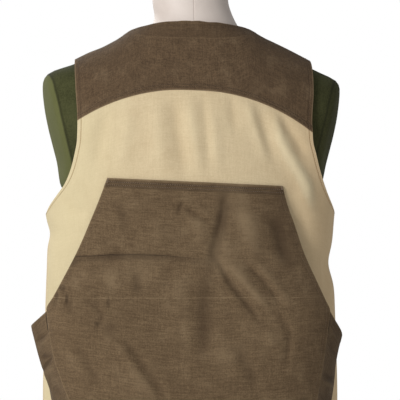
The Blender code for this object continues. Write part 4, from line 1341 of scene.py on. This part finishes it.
# the dense bars of thread that hold the pouch's two upper corners
tack = {
    "pitch": 0.0021,
    "length": 0.0021,
    "width": 0.00055,
    "height": 0.00036,
    "share": 0.028,
    "rows": (0.0012, 0.0018, 0.0024, 0.003),
}


def seamLine(name, edge, distance, start=0.0, end=1.0):
    # the points and normals of a line that keeps one distance from an edge of a cloth
    sheet = sheets[name]
    points, normals, travelled = sheet["points"], sheet["normals"], sheet["across"]
    if edge in ("fromTop", "fromBottom"):
        points, normals = points.transpose(1, 0, 2), normals.transpose(1, 0, 2)
        travelled = sheet["downward"].T
    if edge in ("fromBottom", "fromRight"):
        travelled = (travelled[:, -1:] - travelled)[:, ::-1]
        points, normals = points[:, ::-1], normals[:, ::-1]
    found, facing = [], []
    for row in range(len(points)):
        if travelled[row, -1] < distance:
            continue
        spot = np.interp(distance, travelled[row], np.arange(travelled.shape[1]))
        i = min(int(spot), travelled.shape[1] - 2)
        found.append(mix(points[row, i], points[row, i + 1], spot - i))
        facing.append(mix(normals[row, i], normals[row, i + 1], spot - i))
    keep = slice(round(start * len(found)), round(end * len(found)))
    return np.array(found)[keep], np.array(facing)[keep]


def twistLook(name, base):
    look = Look(name + "Twist")
    x, y, z = look.place()
    twist = ((x + y * 0.7 + z * 1.3) * 9000).wave()
    shade = look.noise(x * 60, y * 60, z * 60, 2.0)
    paler = tuple(min(part * 1.5, 1.0) for part in base[:3]) + (1.0,)
    return look.finish(look.layer(base, (shade, paler)), 0.6 + shade * 0.1, twist * 0.05)


def sew(name, lines, colour, sizes=thread):
    # every stitch is a small rounded grain along its line, and one mesh holds them all
    selectNone()
    bpy.ops.mesh.primitive_uv_sphere_add(segments=6, ring_count=4, radius=0.5)
    piece = bpy.context.object
    piece.name = piece.data.name = name
    spots = spotsOf(piece.data)[:, [2, 0, 1]]      # its poles lie along the seam
    # sorted, because the sphere lists its faces in another order each run
    faces = sorted(list(face.vertices) for face in piece.data.polygons)
    pitch, length, width, tall = sizes["pitch"], sizes["length"], sizes["width"], sizes["height"]
    sized = spots * (length, width, tall * 2)
    allSpots, allFaces = [], []
    for points, normals in lines:
        travelled = arcs(points, 0)

        def at(place, values):
            return np.array([np.interp(place, travelled, values[:, k]) for k in range(3)])

        for start in np.arange(pitch / 2, travelled[-1] - pitch / 2, pitch):
            before, after = at(start - length / 2, points), at(start + length / 2, points)
            run = unit(after - before)
            side = unit(np.cross(at(start, normals), run))
            up = np.cross(run, side)
            base = len(allSpots) * len(spots)
            centre = (before + after) / 2 + up * tall * 0.2
            allSpots.append(centre + sized[:, :1] * run + sized[:, 1:2] * side + sized[:, 2:] * up)
            allFaces.extend([[base + i for i in face] for face in faces])
    joined = bpy.data.meshes.new(name)
    joined.from_pydata(np.concatenate(allSpots).tolist(), [], allFaces)
    joined.shade_smooth()
    joined.materials.append(twistLook(name, thread["colours"][colour]))
    piece.data = joined
    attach(piece, "root")
    print(name, len(allSpots), "stitches")


def sewAll():
    sides = ("fromLeft", "fromRight")
    yokeLines = []
    for name in ("yokeBack", "yokeFront_left", "yokeFront_right"):
        yokeLines += [seamLine(name, "fromBottom", row) for row in yoke["topstitch"]]
        yokeLines += [seamLine(name, edge, yoke["hemRow"]) for edge in sides]
    sew("yokeStitches", yokeLines, "brown")
    # the share of the body cloth's side edges that lies beside an armhole
    arm = float((sheets["backCloth"]["points"][:, 0, 2] > cut["underarm"]).mean())
    hemRow = bottomHem[2][0]
    khakiLines = [seamLine("backCloth", edge, cut["armhem"], 0.0, arm) for edge in sides]
    khakiLines.append(seamLine("backCloth", "fromBottom", hemRow))
    for name, inner, outer in (("frontCloth_left", *sides), ("frontCloth_right", *sides[::-1])):
        khakiLines.append(seamLine(name, outer, cut["armhem"], 0.0, arm))
        khakiLines += [seamLine(name, inner, row) for row in front["facingRows"]]
        khakiLines.append(seamLine(name, "fromBottom", hemRow))
    sew("bodyStitches", khakiLines, "rust")
    pouchLines = [seamLine("pouchCloth", edge, pouch["sideHem"][1], 0.02) for edge in sides]
    pouchLines += [seamLine("gusset_" + word, "fromTop", gusset["topHem"][1]) for word in ("left", "right")]
    sew("pouchStitches", pouchLines, "brown")
    hemLines = [seamLine("pouchCloth", "fromTop", row) for row in pouch["topstitch"]]
    sew("pouchHemStitches", hemLines, "stone")
    tacks = [
        seamLine("pouchCloth", edge, row, 0.0, tack["share"]) for edge in sides for row in tack["rows"]
    ]
    sew("barTacks", tacks, "stone", tack)


button = {
    "count": 5,
    "radius": 0.0095,
    "thick": 0.0032,
    "sides": 40,
    "rim": ((0.0018, 0.0), (0.0012, -0.0009), (0.003, 0.0)),
    "bevel": 0.0004,
    "heights": (0.47, 0.15),
    "drill": (14, 0.0009, 0.01),      # sides, radius, depth
    "holeReach": 0.0016,
    "crossReach": 1.35,
    "sunk": 0.0009,
    "slitShift": 0.004,
    "worked": ((0.0016, 0.0021), (0.0118, 0.0126)),
    "slit": ((0.0004, 0.0008), (0.0104, 0.011)),
    "slitTone": tone(58, 44, 30),
    "thread": {"pitch": 0.004, "length": 0.004, "width": 0.0008, "height": 0.0005},
}


def buttonHeights():
    top, bottom = button["heights"]
    return [mix(top, bottom, i / (button["count"] - 1)) for i in range(button["count"])]


def hornLook():
    look = Look("hornButton")
    x, y, z = look.place()
    cloud = look.noise(x * 90, y * 30, z * 160, 4.0, 0.6)
    streak = look.noise(x * 500, y * 60, z * 60, 2.0, 0.5)
    veins = (cloud.step(0.3, 0.7), tone(104, 80, 56)), (streak * 0.25, tone(140, 112, 82))
    return look.finish(look.layer(tone(58, 42, 30), *veins), 0.3 + cloud * 0.15, streak * 0.03)


def addDisc(sides, radius, depth, centre, tilt):
    selectNone()
    turn = (math.pi / 2 - tilt, 0, 0)
    bpy.ops.mesh.primitive_cylinder_add(
        vertices=sides, radius=radius, depth=depth, location=tuple(centre), rotation=turn
    )
    return bpy.context.object


def sinkFace(piece):
    # the outer face gets a rim and a sunk middle
    faces = [face for face in piece.data.polygons if len(face.vertices) == button["sides"]]
    outer = max(faces, key=lambda face: face.center.z).index
    bpy.ops.object.mode_set(mode="EDIT")
    bpy.ops.mesh.select_mode(type="FACE")
    bpy.ops.mesh.select_all(action="DESELECT")
    bpy.ops.object.mode_set(mode="OBJECT")
    piece.data.polygons[outer].select = True
    bpy.ops.object.mode_set(mode="EDIT")
    for thickness, depth in button["rim"]:
        bpy.ops.mesh.inset(thickness=thickness, depth=depth)
    bpy.ops.object.mode_set(mode="OBJECT")
    applyModifier(piece, "BEVEL", width=button["bevel"], segments=2, limit_method="ANGLE")
    bpy.ops.object.transform_apply(location=True, rotation=True, scale=True)


def makeButtons():
    horn = hornLook()
    aside = np.array([1.0, 0.0, 0.0])
    reach, thick, crosses = button["holeReach"], button["thick"], []
    for i in range(button["count"]):
        node = "button_%d" % (i + 1)
        low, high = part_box(node)
        face = garment.point(np.array(-math.pi / 2), np.array((low[2] + high[2]) / 2))
        out = garment.outwards(face)
        tilt = math.atan2(out[2], -out[1])
        upright = np.array([0.0, math.sin(tilt), math.cos(tilt)])
        centre = face + out * (overlapLift(0.0) + cut["seamGap"] + thick / 2)
        piece = addDisc(button["sides"], button["radius"], thick, centre, tilt)
        piece.name = "hornButton_%d" % (i + 1)
        sinkFace(piece)
        corners = [across * aside + up * upright for across in (-1, 1) for up in (-1, 1)]
        drills = [addDisc(*button["drill"], centre + reach * corner, tilt) for corner in corners]
        for drill in drills:
            selectNone()
            piece.select_set(True)
            bpy.context.view_layer.objects.active = piece
            applyModifier(piece, "BOOLEAN", object=drill, operation="DIFFERENCE")
            bpy.data.objects.remove(drill)
        # two crossed threads lie over the holes
        middle = centre + out * (thick / 2 - button["sunk"])
        for across in (-1, 1):
            arm = reach * button["crossReach"] * (across * aside + upright)
            crosses.append((np.array([middle - arm, middle + arm]), np.array([out, out])))
        dress(piece, horn, node, 40)
    sew("buttonThread", crosses, "rust", button["thread"])
    print("buttons made")


def makeFloor():
    selectNone()
    bpy.ops.mesh.primitive_plane_add(size=studio["floorSize"], location=(0, 0, 0))
    floor = bpy.context.object
    floor.name = "floor"
    look = Look("paleFloor")
    x, y, _ = look.place()
    speck = look.noise(x * 40, y * 40, 0.0, 2.0)
    base = studio["floorColour"]
    colour = look.layer(base, (speck, tuple(part * 0.97 for part in base)))
    floor.data.materials.append(look.finish(colour, 0.8, speck * 0.05))


setStudio()
makeFloor()
makeForm()
makeBackYoke()
makeBack()
makeFront(1)
makeFront(-1)
makePouch()
makeGusset(1)
makeGusset(-1)
makeButtons()
sewAll()
